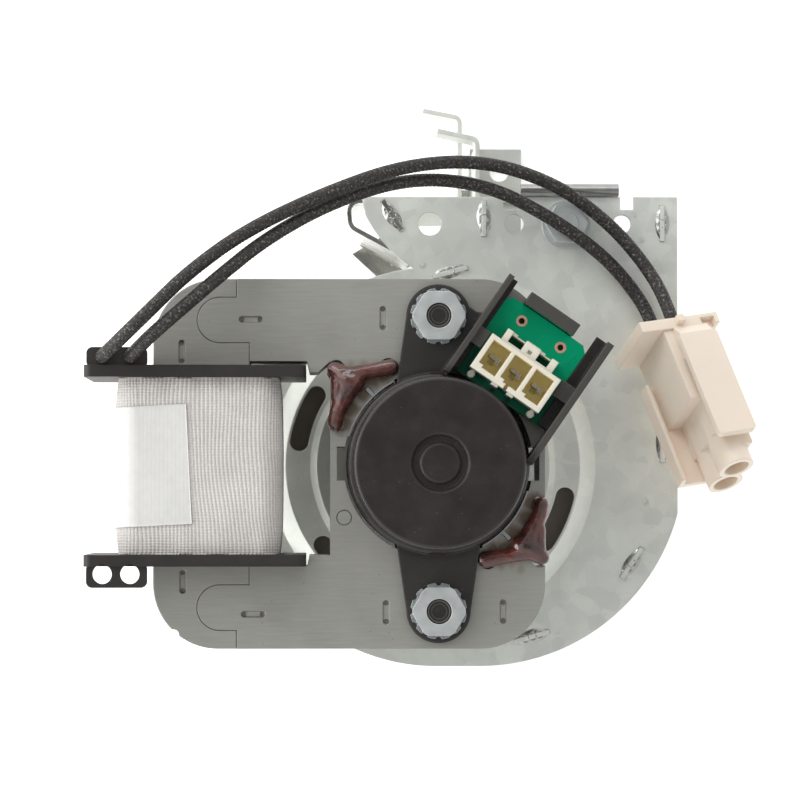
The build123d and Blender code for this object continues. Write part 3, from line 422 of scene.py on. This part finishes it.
def black_moulding():
    """Glossy black thermoset with a slight warm cast and dust. The ears and rails are duller than the cap."""
    g = Graph("black_moulding", 0.26, Specular_IOR_Level=0.5)
    g.bevel(0.4)
    haze = g.noise(4.5, 4)
    dust = g.remap(g.cells(1.7), 0.05, 0.02)
    base = g.ramp(haze, [(0.3, (0.022, 0.0185, 0.017)), (0.75, (0.03, 0.0255, 0.0235))])
    outside = g.remap(g.from_axis(), *CAP_EDGE)
    ears, rails = (g.math("MULTIPLY", outside, g.remap(g.axis("Z"), *z)) for z in (EARS_BELOW, RAILS_ABOVE))
    base = g.mix(g.math("MULTIPLY", ears, 0.9), base, (0.04, 0.0375, 0.036))
    base = g.mix(g.math("MULTIPLY", rails, 0.8), base, (0.075, 0.071, 0.065))
    g.put("Base Color", g.mix(g.math("MULTIPLY", dust, 0.5), base, (0.3, 0.28, 0.26)))
    g.put("Roughness", g.remap(haze, 0.3, 0.7, 0.2, 0.32))
    g.bump(g.noise(0.8, 3), 0.006)
    return g.done()


def matt_nylon(name, color, rough=0.55):
    g = Graph(name, rough)
    g.bevel(0.25)
    cloud = g.noise(3.0, 4)
    dust = g.remap(g.cells(1.1), 0.05, 0.02)
    base = g.mix(g.remap(cloud, 0.3, 0.7), *shades(color, 0.85, 1.2))
    g.put("Base Color", g.mix(g.math("MULTIPLY", dust, 0.35), base, (0.35, 0.33, 0.31)))
    g.bump(g.noise(0.28, 3), 0.02)
    return g.done()


def cream_nylon(name, color, warm):
    g = Graph(name, 0.42, Subsurface_Weight=0.35, Subsurface_Scale=1.2 * MM)
    g.shader.inputs["Subsurface Radius"].default_value = (1.0, 0.62, 0.35)
    g.bevel(0.35)
    cloud = g.noise(6.0, 3)
    g.put("Base Color", g.mix(g.remap(cloud, 0.35, 0.7), color, warm))
    g.put("Roughness", g.remap(g.noise(1.5, 3), 0.3, 0.7, 0.38, 0.5))
    g.bump(g.noise(0.6, 3), 0.015)
    return g.done()


# Walls round the header's cells in the board's frame: axis, then the places of no and of full painted light,
# a bright tan inside the cells.
HEADER_CELLS_MM = [
    ("X", -4.5, -4.4), ("X", 8.2, 8.1), ("Y", 16.1, 16.3), ("Y", 21.75, 21.55), ("Z", 79.5, 79.1),
]


def header_nylon_lit_cells():
    """Cream nylon. The shaded insides of its open cells are painted a bright tan, as painted light."""
    g, before = Graph.reopened(cream_nylon("header_white", (0.74, 0.71, 0.61), (0.72, 0.68, 0.58)))
    turned = g.stretched((1, 1, 1), BOARD_TURN)
    painted_light_share = 1.0
    for name, none, full in HEADER_CELLS_MM:
        painted_light_share = g.math("MULTIPLY", painted_light_share, g.remap(g.axis(name, turned), none * MM, full * MM))
    # painted light: a bright tan inside the cells, where they lie in shade
    g.put("Base Color", g.mix(painted_light_share, before, (0.97, 0.86, 0.52)))
    return g.mat


def varnish():
    """Copper straps under thick red-brown varnish: bright red where thin, near black in the hollows."""
    g = Graph("red_varnish", 0.2, Coat_Weight=0.8, Coat_Roughness=0.09)
    thick = g.noise(2.6, 4)
    tone = g.ramp(thick, [
        (0.3, (0.03, 0.012, 0.01)), (0.52, (0.085, 0.024, 0.018)), (0.75, (0.17, 0.04, 0.025))])
    dust = g.remap(g.cells(0.9), 0.1, 0.04)
    g.put("Base Color", g.mix(g.math("MULTIPLY", dust, 0.25), tone, (0.5, 0.3, 0.25)))
    g.put("Roughness", g.remap(g.noise(0.7, 3), 0.3, 0.7, 0.16, 0.34))
    g.bump(g.noise(1.1, 3), 0.06)
    return g.done()


TRACKS_TURN = 0.6
BOARD_PAINTED_SHADOW = (21.6 * MM, 20.4 * MM)    # along the board, where a painted shadow darkens it towards the cap


def solder_resist():
    """Green resist over faint copper tracks on a glass-fibre board, with a painted shadow towards the cap."""
    g = Graph("solder_resist", 0.3, Specular_IOR_Level=0.15)
    weave = g.noise(0.7, 2, vector=g.stretched((3, 0.6, 1), BOARD_TURN))
    paths = g.cells(3.2, "DISTANCE_TO_EDGE", vector=g.stretched((1, 1, 1), TRACKS_TURN), randomness=0.4)
    tracks = g.remap(paths, 0.1, 0.13)
    base = g.mix(g.math("MULTIPLY", tracks, 0.2), (0.0, 0.47, 0.225), (0.0, 0.54, 0.26))
    face = g.add("ShaderNodeNewGeometry")
    side = g.remap(g.math("ABSOLUTE", g.axis("Z", face.outputs["Normal"])), 0.6, 0.2)
    along = g.axis("Y", g.stretched((1, 1, 1), BOARD_TURN))
    # painted shadow: the board is darkened towards the cap
    base = g.mix(g.remap(along, *BOARD_PAINTED_SHADOW, 0.0, 0.8), base, (0.012, 0.12, 0.075))
    base = g.mix(side, base, (0.3, 0.33, 0.12))
    g.put("Base Color", base)
    g.bump(tracks, 0.03)
    g.bump(weave, 0.008)
    return g.done()


def felt(color=(0.55, 0.5, 0.4)):
    g = Graph("felt", 0.9)
    hair = g.noise(0.6, 5)
    g.put("Base Color", g.ramp(hair, [(0.3, *shades(color, 0.7)), (0.7, color)]))
    g.bump(hair, 0.3)
    return g.done()


WIRE = 0.4 * MM     # the winding's wire, as spaced along the coil


def winding_copper():
    g = Graph("winding_copper", 0.28, 0.9)
    wire = g.zigzag(g.axis("Y"), WIRE)
    g.put("Base Color", g.mix(g.remap(wire, 0.0, 0.2), (0.2, 0.05, 0.02), (0.62, 0.25, 0.11)))
    g.bump(wire, 0.15)
    return g.done()


# ---------------------------------------------------------------- mesh kit
def new_piece(name, verts, faces, mat):
    mesh = bpy.data.meshes.new(name)
    mesh.from_pydata([tuple(v) for v in verts], [], [tuple(f) for f in faces])
    mesh.validate()
    for polygon in mesh.polygons:
        polygon.use_smooth = True
    mesh.materials.append(mat)
    piece = bpy.data.objects.new(name, mesh)
    bpy.context.collection.objects.link(piece)
    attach(piece, HOUSING)
    return piece


def grid_faces(rows, columns, wrap=False):
    """Quads of a grid of vertices, row by row. wrap joins the last column to the first."""
    faces = []
    for r in range(rows - 1):
        for c in range(columns if wrap else columns - 1):
            a = r * columns + c
            b = r * columns + (c + 1) % columns
            faces.append((a, b, b + columns, a + columns))
    return faces


def baked(piece):
    """The piece's mesh with its modifiers applied, as a new mesh."""
    graph = bpy.context.evaluated_depsgraph_get()
    graph.update()
    return bpy.data.meshes.new_from_object(piece.evaluated_get(graph))


# ---------------------------------------------------------------- leads
LEAD_D = 2.3 * MM
# Points of each lead's route in millimetres, from its terminal on the coil to the plug.
LEAD_A = [
    (-55.1, 17.3, 76.6), (-53.8, 18.3, 79.9), (-51.1, 20.7, 82.7), (-46.4, 25.2, 83.8),
    (-41.0, 30.7, 81.7), (-32.0, 37.9, 75.0), (-19.2, 44.9, 64.4), (-5.1, 50.8, 53.0),
    (8.9, 52.2, 45.4), (21.4, 48.3, 42.6), (30.5, 41.7, 40.6), (36.6, 34.8, 39.8),
    (40.1, 28.3, 42.6), (41.68, 22.28, 45.78),
]
LEAD_B = [
    (-50.5, 17.3, 76.6), (-49.1, 18.6, 79.85), (-46.2, 21.2, 82.5), (-41.4, 25.3, 82.9),
    (-35.7, 30.5, 79.3), (-28.1, 37.2, 71.5), (-17.3, 44.0, 60.3), (-4.1, 48.9, 49.8),
    (9.1, 48.2, 43.9), (20.0, 42.7, 43.2), (28.6, 36.9, 40.2), (33.7, 31.8, 38.4),
    (37.8, 25.5, 39.3), (39.19, 19.62, 42.02),
]
BRAID_CARRIERS = 8
BRAID_PITCH = 6.2 * MM
BRAID_DEPTH = 0.2 * MM
BRAID_UNDER = 0.55      # height of a strand where it passes under another, as a share of its full height
LEAD_STEP = 0.16 * MM
LEAD_SPOKES = 44


def route_line(name, points):
    """The smooth line of a route, read from one NURBS spline as close points."""
    data = bpy.data.curves.new(name, "CURVE")
    data.dimensions = "3D"
    data.resolution_u = 60
    spline = data.splines.new("NURBS")
    spline.points.add(len(points) - 1)
    for point, place in zip(spline.points, points):
        point.co = (*(v * MM for v in place), 1.0)
    spline.order_u = 3
    spline.use_endpoint_u = True
    carrier = bpy.data.objects.new(name, data)
    bpy.context.collection.objects.link(carrier)
    line = baked(carrier)
    places = np.array([v.co for v in line.vertices])
    bpy.data.objects.remove(carrier)
    bpy.data.meshes.remove(line)
    return places


def evenly(line, gap):
    """The line as evenly spaced points, and each one's distance along it."""
    steps = np.linalg.norm(np.diff(line, axis=0), axis=1)
    travelled = np.concatenate([[0], np.cumsum(steps)])
    count = int(travelled[-1] / gap) + 1
    at = np.linspace(0, travelled[-1], count)
    return np.stack([np.interp(at, travelled, line[:, k]) for k in range(3)], axis=1), at


def carried_frames(line):
    """A side and an up vector at each point, carried along the line without twist."""
    ahead = np.gradient(line, axis=0)
    ahead /= np.linalg.norm(ahead, axis=1, keepdims=True)
    side = np.cross(ahead[0], (0.0, 0.0, 1.0))
    if np.linalg.norm(side) < 0.1:
        side = np.cross(ahead[0], (1.0, 0.0, 0.0))
    sides = []
    for direction in ahead:
        side = side - direction * np.dot(side, direction)
        side /= np.linalg.norm(side)
        sides.append(side)
    sides = np.array(sides)
    return sides, np.cross(ahead, sides)


def braid_height(around, along):
    """Height, 0 to 1, of a plain braid: two families of strands that pass over and under each other."""
    turn, rise = BRAID_CARRIERS * (around / math.tau), BRAID_CARRIERS * along / BRAID_PITCH
    a, b = turn + rise, turn - rise
    over_a = 0.5 + 0.5 * np.sin(math.pi * (np.floor(a) + np.floor(b)) + math.pi / 2)
    heights = []
    for strand, over in ((a, over_a), (b, 1 - over_a)):
        ridge = np.sqrt(np.abs(np.sin(math.pi * strand)))
        heights.append(ridge * (BRAID_UNDER + (1 - BRAID_UNDER) * over))
    return np.maximum(*heights)


def add_lead(name, points, mat):
    """A braided lead as a visible mesh: its skin follows the route and rises with each strand."""
    line, along = evenly(route_line(name + "_route", points), LEAD_STEP)
    sides, ups = carried_frames(line)
    around = np.linspace(0, math.tau, LEAD_SPOKES, endpoint=False)
    around, grid_along = np.meshgrid(around, along)
    radius = LEAD_D / 2 - BRAID_DEPTH * (1 - braid_height(around, grid_along))
    spin = np.cos(around)[..., None] * sides[:, None, :] + np.sin(around)[..., None] * ups[:, None, :]
    verts = (line[:, None, :] + spin * radius[..., None]).reshape(-1, 3)
    faces = grid_faces(len(line), LEAD_SPOKES, wrap=True)
    faces.append(tuple(range(LEAD_SPOKES))[::-1])
    faces.append(tuple((len(line) - 1) * LEAD_SPOKES + i for i in range(LEAD_SPOKES)))
    piece = new_piece(name + "_braid", verts, faces, mat)
    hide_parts(name)


def lead_sleeve():
    """Varnished black glass braid: dull yarn with pale flecks where single threads show."""
    g = Graph("lead_sleeve", 0.6)
    fleck = g.noise(0.42, 2)
    soft = g.noise(2.2, 3)
    base = g.ramp(fleck, [
        (0.44, (0.012, 0.0105, 0.0095)), (0.6, (0.05, 0.045, 0.04)), (0.7, (0.24, 0.21, 0.185))])
    g.put("Base Color", g.mix(g.remap(soft, 0.35, 0.7, 0.0, 0.5), base, (0.016, 0.014, 0.013)))
    g.put("Roughness", g.remap(fleck, 0.3, 0.7, 0.62, 0.4))
    g.bump(g.noise(0.2, 2), 0.03)
    return g.done()


# ---------------------------------------------------------------- coil tape and label
TAPE_HALF_Y = 14.46 * MM
TAPE_MID_Y = -0.425 * MM
TAPE_RIB = 0.66 * MM
TAPE_WEFT = 0.47 * MM
TAPE_RIB_DEPTH = 0.17 * MM
TAPE_CORNER = 3.9 * MM
TAPE_INSET = 0.25 * MM      # from the CAD tape's faces to the middle of the visible tape
TAPE_THICK = 0.6 * MM
TAPE_BULGE = 0.35 * MM      # of its middle over its ends
TAPE_LUMPS = 0.16 * MM
TAPE_PINCH, TAPE_FOLDS = 0.25 * MM, 0.28 * MM       # how far it is drawn in beside a flange, and how unevenly
TAPE_ROWS = 120
TAPE_COLUMNS = 1040


def tape_section(count):
    """Points and outward normals round the coil, as one closed rounded rectangle in X and Z."""
    low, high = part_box("coil_tape")
    corner = TAPE_CORNER
    left, right = low.x + TAPE_INSET, high.x - TAPE_INSET
    bottom, top = low.z + TAPE_INSET, high.z - TAPE_INSET
    half_turn = math.pi / 2 * corner
    wide, tall = right - left - 2 * corner, top - bottom - 2 * corner
    total = 2 * (wide + tall) + 4 * half_turn
    places, outward, travelled = [], [], []
    sides = [
        ((left + corner, top), (1, 0), (0, 1), wide), ((right, top - corner), (0, -1), (1, 0), tall),
        ((right - corner, bottom), (-1, 0), (0, -1), wide), ((left, bottom + corner), (0, 1), (-1, 0), tall),
    ]
    for step in range(count):
        s = step * total / count
        travelled.append(s)
        for start, along, out, length in sides:
            if s <= length:
                places.append((start[0] + along[0] * s, start[1] + along[1] * s))
                outward.append(out)
                break
            s -= length
            if s <= half_turn:
                turn = s / corner
                centre = tuple(start[k] + along[k] * length - out[k] * corner for k in (0, 1))
                way = tuple(out[k] * math.cos(turn) + along[k] * math.sin(turn) for k in (0, 1))
                places.append((centre[0] + way[0] * corner, centre[1] + way[1] * corner))
                outward.append(way)
                break
            s -= half_turn
    return np.array(places), np.array(outward), np.array(travelled), total


def tape_swell(x, y, z):
    """How far the tape stands out: it bulges in the middle and pulls in beside the flanges, in folds."""
    share = min(abs(y - TAPE_MID_Y) / TAPE_HALF_Y, 1.0)
    middle = 1 - share**4
    near_end = share**6
    lumps = noise.noise(Vector((x, y, z)) / (7.0 * MM)) * TAPE_LUMPS
    folds = noise.noise(Vector((x * 2.2, y * 0.5, z * 2.2)) / (5.0 * MM) + Vector((7, 3, 1))) * TAPE_FOLDS
    return (middle - 1) * TAPE_BULGE + lumps * middle + (folds - TAPE_PINCH) * near_end


def rib_lean(along, y):
    """How far the ribs wander along the wrap."""
    wave = 0.9 * MM * math.sin(y / TAPE_HALF_Y * 1.6 + along / (19 * MM))
    return wave + 0.5 * MM * noise.noise(Vector((along / (9 * MM), y / (9 * MM), 4)))


def add_tape(mat):
    """The ribbed glass tape round the coil, kept inside the CAD tape's box."""
    low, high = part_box("coil_tape")
    section, outward, travelled, total = tape_section(TAPE_COLUMNS)
    ys = np.linspace(TAPE_MID_Y - TAPE_HALF_Y, TAPE_MID_Y + TAPE_HALF_Y, TAPE_ROWS)
    ribs = round(total / TAPE_RIB)
    verts = []
    for y in ys:
        for (x, z), (nx, nz), s in zip(section, outward, travelled):
            rib = abs(math.cos(math.pi * (s + rib_lean(s, y)) / total * ribs)) ** 0.7
            shift = tape_swell(x, y, z) - TAPE_RIB_DEPTH * (1 - rib)
            px = min(max(x + nx * shift, low.x), high.x)
            pz = min(max(z + nz * shift, low.z), high.z)
            verts.append((px, y, pz))
    faces = grid_faces(TAPE_ROWS, TAPE_COLUMNS, wrap=True)
    inner = []
    for y in (ys[0], ys[-1]):
        inner.append(len(verts))
        for (x, z), (nx, nz) in zip(section, outward):
            verts.append((x - nx * TAPE_THICK, y, z - nz * TAPE_THICK))
    last = (TAPE_ROWS - 1) * TAPE_COLUMNS
    for c in range(TAPE_COLUMNS):
        n = (c + 1) % TAPE_COLUMNS
        faces.append((inner[0] + c, inner[0] + n, n, c))
        faces.append((last + c, last + n, inner[1] + n, inner[1] + c))
    piece = new_piece("tape_wrap", verts, faces, mat)
    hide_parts("coil_tape")


def woven_tape():
    """White glass tape: close ribs with a fine cross thread and a pinkish cast from the wire below."""
    g = Graph("woven_tape", 0.75, Sheen_Weight=0.15)
    wander = g.math("MULTIPLY", g.noise(2.0, 2), 0.25 * MM)
    weft = g.zigzag(g.math("ADD", g.axis("Y"), wander), TAPE_WEFT)
    cloud = g.noise(8.0, 3)
    thread = g.noise(0.55, 3, vector=g.stretched((2.2, 0.5, 2.2)))
    base = g.mix(g.remap(cloud, 0.35, 0.65), (0.61, 0.58, 0.55), (0.685, 0.66, 0.63))
    base = g.mix(g.remap(weft, 0.13, 0.0, 0.0, 0.5), base, (0.35, 0.3, 0.275))
    base = g.mix(g.remap(thread, 0.56, 0.72, 0.0, 0.4), base, (0.45, 0.4, 0.37))
    g.put("Base Color", base)
    g.bump(weft, 0.11)
    g.bump(thread, 0.04)
    return g.done()


LABEL_RIGHT = -40.9 * MM
LABEL_Y = (-9.9 * MM, 9.7 * MM)
LABEL_TURN = 0.05           # how far it is stuck askew, in radians
LABEL_REACH = 30.0 * MM     # from its right edge, over the top and down the left side
LABEL_LIFTS = (0.2 * MM, 0.05 * MM)     # of the paper's outer and inner face above the tape
LABEL_ROWS = 60
LABEL_SECTION = 520


def add_label(mat):
    """A blank paper label that follows the tape over its top and round its left side."""
    section, outward, _, total = tape_section(LABEL_SECTION)
    step = total / LABEL_SECTION
    on_top = outward[:, 1] > 0.9
    start = np.argmin(np.where(on_top, np.abs(section[:, 0] - LABEL_RIGHT), np.inf))
    line = [(start - k) % LABEL_SECTION for k in range(int(LABEL_REACH / step) + 2)]
    rows = LABEL_ROWS
    tall = LABEL_Y[1] - LABEL_Y[0]
    verts = []
    for lift in LABEL_LIFTS:
        for r in range(rows):
            v = r / (rows - 1)
            for k, index in enumerate(line):
                x, z = section[index]
                nx, nz = outward[index]
                y = LABEL_Y[0] + tall * v - k * step * math.sin(LABEL_TURN)
                slide = (v - 0.5) * tall * math.sin(LABEL_TURN)
                shift = tape_swell(x, y, z) + lift
                verts.append((x + nx * shift - nz * slide, y, z + nz * shift + nx * slide))
    columns = len(line)
    faces = grid_faces(rows, columns)
    offset = rows * columns
    faces += [tuple(i + offset for i in reversed(f)) for f in grid_faces(rows, columns)]
    for r in range(rows - 1):
        for c in (0, columns - 1):
            a, b = r * columns + c, (r + 1) * columns + c
            faces.append((a, b, b + offset, a + offset) if c else (b, a, a + offset, b + offset))
    for c in range(columns - 1):
        for r in (0, rows - 1):
            a, b = r * columns + c, r * columns + c + 1
            faces.append((b, a, a + offset, b + offset) if r else (a, b, b + offset, a + offset))
    piece = new_piece("blank_label", verts, faces, mat)
    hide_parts("coil_label")


def label_paper():
    """Blank white paper, through which the tape's ribs show a little."""
    g = Graph("label_paper", 0.38, Coat_Weight=0.15, Coat_Roughness=0.3)
    fibre = g.noise(1.2, 5)
    g.put("Base Color", g.ramp(fibre, [(0.3, (0.69, 0.685, 0.66)), (0.7, (0.73, 0.725, 0.70))]))
    g.bump(g.zigzag(g.axis("X"), TAPE_RIB), 0.02)
    g.bump(g.noise(3.0, 2), 0.08)
    return g.done()


# ---------------------------------------------------------------- shading coils
# Each line is a bar's two ends and the radius at each, in millimetres: the shared corner, web and two arms.
COIL_LUMPS = [
    ((-17.1, 15.5, 70.0), (-15.8, 14.4, 70.3), 1.25, 1.8),
    ((-15.8, 14.4, 70.3), (-14.4, 13.4, 70.6), 1.8, 1.95),
    ((-16.4, 14.8, 70.2), (-16.3, 10.9, 70.2), 1.4, 1.4),
    ((-14.4, 13.4, 70.6), (-13.6, 13.2, 70.4), 1.95, 1.6),
    ((-14.4, 13.4, 70.6), (-15.4, 10.9, 70.3), 1.95, 1.6),
    ((-15.6, 10.8, 70.3), (-16.6, 8.6, 70.2), 1.6, 1.35),
    ((-16.6, 8.6, 70.2), (-16.95, 6.8, 69.9), 1.35, 1.3),
    ((-14.4, 14.4, 70.4), (-11.6, 15.2, 70.3), 1.7, 1.25),
    ((-11.6, 15.2, 70.3), (-7.9, 15.8, 70.0), 1.25, 1.45),
]
COIL_VOXEL = 0.16 * MM
COIL_SINKS = 0.8 * MM       # how far the varnish reaches below the stack's face
COIL_FLATTEN = 0.86


def lump_mesh(lumps):
    """One skin over a chain of tapering round bars, by remeshing and smoothing."""
    shape = bmesh.new()
    for start, end, first_r, last_r in lumps:
        a, b = Vector(start) * MM, Vector(end) * MM
        steps = max(4, int((b - a).length / (0.5 * MM)))
        for i in range(steps + 1):
            share = i / steps
            size = (first_r + (last_r - first_r) * share) * MM
            bmesh.ops.create_icosphere(
                shape, subdivisions=3, radius=size, matrix=Matrix.Translation(a.lerp(b, share)))
    mesh = bpy.data.meshes.new("lumps")
    shape.to_mesh(mesh)
    shape.free()
    carrier = bpy.data.objects.new("lumps", mesh)
    bpy.context.collection.objects.link(carrier)
    remesh = carrier.modifiers.new("skin", "REMESH")
    remesh.mode = "VOXEL"
    remesh.voxel_size = COIL_VOXEL
    relax = carrier.modifiers.new("relax", "SMOOTH")
    relax.factor = 0.5
    relax.iterations = 10
    skin = baked(carrier)
    bpy.data.objects.remove(carrier)
    return skin


def add_shading_coils(mat):
    """The straps over the pole corners, thick with varnish. The under side has the same straps."""
    stack_low, stack_high = (corner.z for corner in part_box("stator_core"))
    skin = lump_mesh(COIL_LUMPS)
    places = np.empty(len(skin.vertices) * 3)
    skin.vertices.foreach_get("co", places)
    places = places.reshape(-1, 3)
    for i, place in enumerate(places):
        point = Vector(place)
        lump = noise.noise(point / (1.7 * MM)) * 0.16 + noise.noise(point / (0.7 * MM)) * 0.05
        flat = max(0.0, (place[2] - stack_high) / (3 * MM))
        places[i][2] += lump * MM * flat
        places[i][0] += lump * MM * 0.5
    low = stack_high - COIL_SINKS
    places[:, 2] = np.maximum(places[:, 2], low)
    places[:, 2] = low + (places[:, 2] - low) * COIL_FLATTEN
    faces = [tuple(p.vertices) for p in skin.polygons]
    for name, turn in (("shading_coil_a", 0.0), ("shading_coil_b", math.pi)):
        rot = np.array(Matrix.Rotation(turn, 3, "Z"))
        top = places @ rot.T
        under = top.copy()
        under[:, 2] = stack_low + stack_high - under[:, 2]
        verts = np.concatenate([top, under])
        both = faces + [tuple(i + len(top) for i in reversed(f)) for f in faces]
        piece = new_piece(name + "_varnished", verts, both, mat)
        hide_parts(name)


# ---------------------------------------------------------------- staked tabs
STAKE_HALF_LENGTH = 2.75
STAKE_HALF_WIDTH = 1.2
STAKE_DOTS = (-1.35, 0.0, 1.3)
STAKE_RINGS, STAKE_SPOKES = 22, 56
WRAPPER_TAB = 0.4 * MM      # how far the wrapper's tabs stand above the rear plate
# Place in X and Y, in millimetres, and direction in degrees, of each staked tab on the rear plate.
STAKES = [
    (-7.0, 43.4, 123.0), (8.95, 42.8, 95.0), (39.9, 42.0, 88.0), (3.1, 33.6, 15.0), (39.9, 3.6, 92.0),
    (34.5, -16.9, 56.0), (17.2, -29.6, 16.5),
]


def stake_height(u, v, share, number):
    """Height in millimetres of one swaged oval at a place on it: a worn mound with three punch dots."""
    height = 0.3 * (1 - share**4) + 0.07 * noise.noise(Vector((u, v, number)) * 1.6) * (1 - share**8)
    for dot in STAKE_DOTS:
        wander = 0.22 * noise.noise(Vector((dot * 3, number * 1.7, 0)))
        gap = math.hypot((u - dot - wander) / 0.42, (v - wander) / 0.5)
        height -= 0.2 * math.exp(-gap**4)
        height += 0.1 * math.exp(-((gap - 1.4) / 0.35) ** 2)
    return height


def add_stakes(mat):
    """Swaged ovals over the wrapper's tabs, each with punch dots and a ragged rim."""
    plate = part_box("scroll_wrapper")[1].z - WRAPPER_TAB
    for number, (cx, cy, degrees) in enumerate(STAKES):
        turn = math.radians(degrees)
        verts = []
        for r in range(STAKE_RINGS):
            share = r / (STAKE_RINGS - 1)
            for k in range(STAKE_SPOKES):
                angle = k * math.tau / STAKE_SPOKES
                seed = Vector((math.cos(angle) * 1.6, math.sin(angle) * 1.6, number * 3.1))
                ragged = 1 + 0.10 * noise.noise(seed)
                u = math.cos(angle) * STAKE_HALF_LENGTH * share * ragged
                v = math.sin(angle) * STAKE_HALF_WIDTH * share * ragged
                height = stake_height(u, v, share, number)
                x = cx + u * math.cos(turn) - v * math.sin(turn)
                y = cy + u * math.sin(turn) + v * math.cos(turn)
                verts.append((x * MM, y * MM, plate + height * MM))
        faces = grid_faces(STAKE_RINGS, STAKE_SPOKES, wrap=True)
        new_piece(f"stake_{number + 1}", verts, faces, mat)


# ---------------------------------------------------------------- CAD nodes and their finishes
STAIN_Z_MM = 69.0
# Places in millimetres where varnish ran over the stack's face: brown beside the poles, amber past the coils.
BROWN = [(-14.5, 9.0), (-12.6, 11.6), (-11.0, 14.0), (-9.0, 14.6), (-15.6, 6.4)]
BROWN += [(-x, -y) for x, y in BROWN]
AMBER = [(-14.4, 16.4), (-12.4, 16.5), (13.6, -17.2), (10.4, -16.9), (12.2, -17.0)]


def stain(places, radius_mm, tint, share):
    """A stain as laminations() takes it: its places, radius, colour and how much of the colour shows."""
    return [(x, y, STAIN_Z_MM) for x, y in places], radius_mm, tint, share


def finishes():
    """Each finish, and the CAD nodes that have it."""
    impeller = ("impeller_backplate", "impeller_blades", "impeller_rim")
    return [
        (galvanised(), ("front_plate", "scroll_wrapper", "hook_bracket")),
        (scuffed_plate(), ("rear_plate",)),
        (galvanised("clip_sheet", (0.66, 0.65, 0.62), 0.2, 1.0), ("side_clip",)),
        (plain_metal("clip_wire", (0.42, 0.42, 0.41), 0.35), ("outlet_clip",)),
        (bright_zinc(), ("clip_screw", "clip_nut", "stud_nuts", "mount_standoffs")),
        (bright_zinc("washer_zinc", (0.5, 0.52, 0.53), 0.15), ("lock_washers",)),
        (laminations("yoke_laminations", stain=[
            stain(BROWN, 2.3, (0.13, 0.085, 0.055), 0.85), stain(AMBER, 1.1, (0.24, 0.15, 0.06), 0.55),
        ]), ("stator_core",)),
        (laminations("leg_laminations"), ("coil_core",)),
        (laminations("rotor_laminations"), ("rotor_core",)),
        (plain_metal("bridge_steel", (0.6, 0.62, 0.61), 0.35), ("pole_bridges",)),
        (matt_nylon("black_nylon", (0.018, 0.0148, 0.0135), 0.5),
         ("bobbin", "coil_terminals", "board_pegs", "thrust_washers")),
        (winding_copper(), ("coil_winding",)),
        (black_moulding(), ("upper_bracket", "lower_bracket")),
        (plain_metal("bearing_bronze", (0.55, 0.36, 0.18), 0.4, 0.3), ("upper_bearing", "lower_bearing")),
        (felt(), ("upper_felt", "lower_felt")),
        (plain_metal("ground_steel", (0.6, 0.6, 0.6), 0.2), ("upper_retainer", "lower_retainer", "shaft")),
        (black_steel(), ("through_studs", "hub_screw")),
        (solder_resist(), ("sensor_board",)),
        (plain_metal("copper_ring", (1.0, 0.64, 0.47), 0.5), ("board_eyelets",)),
        (header_nylon_lit_cells(), ("board_header",)),
        (plain_metal("tinned_brass", (0.72, 0.68, 0.58), 0.25), ("header_pins", "plug_contacts")),
        (matt_nylon("chip_epoxy", (0.03, 0.03, 0.032)), ("hall_sensor",)),
        (cream_nylon("plug_cream", (0.87, 0.77, 0.665), (0.86, 0.75, 0.63)), ("plug_housing",)),
        (plain_metal("cast_aluminium", (0.66, 0.67, 0.68), 0.4, 0.9), ("rotor_cage", "impeller_hub")),
        (matt_nylon("ferrite", (0.05, 0.05, 0.052), 0.45), ("magnet_ring",)),
        (galvanised("impeller_sheet", (0.40, 0.36, 0.32), 0.5), impeller),
    ]


def finish_nodes():
    for mat, names in finishes():
        for name in names:
            mesh = nodes[name].data
            mesh.materials.clear()
            mesh.materials.append(mat)


CRISP_ANGLE = math.radians(28)


def smooth_nodes():
    """Round CAD faces shade smoothly, and edges sharper than CRISP_ANGLE stay crisp."""
    for node in nodes.values():
        for polygon in node.data.polygons:
            polygon.use_smooth = True
        node.data.set_sharp_from_angle(angle=CRISP_ANGLE)


bpy.context.scene.view_settings.view_transform = "Standard"
add_camera()
add_world()
for softbox in SOFTBOXES:
    add_softbox(*softbox)
add_floor()
finish_nodes()
smooth_nodes()
braid = lead_sleeve()
add_lead("lead_a", LEAD_A, braid)
add_lead("lead_b", LEAD_B, braid)
add_tape(woven_tape())
add_label(label_paper())
add_shading_coils(varnish())
add_stakes(galvanised("swaged_zinc", (0.5, 0.5, 0.48), 0.22, 0.9))
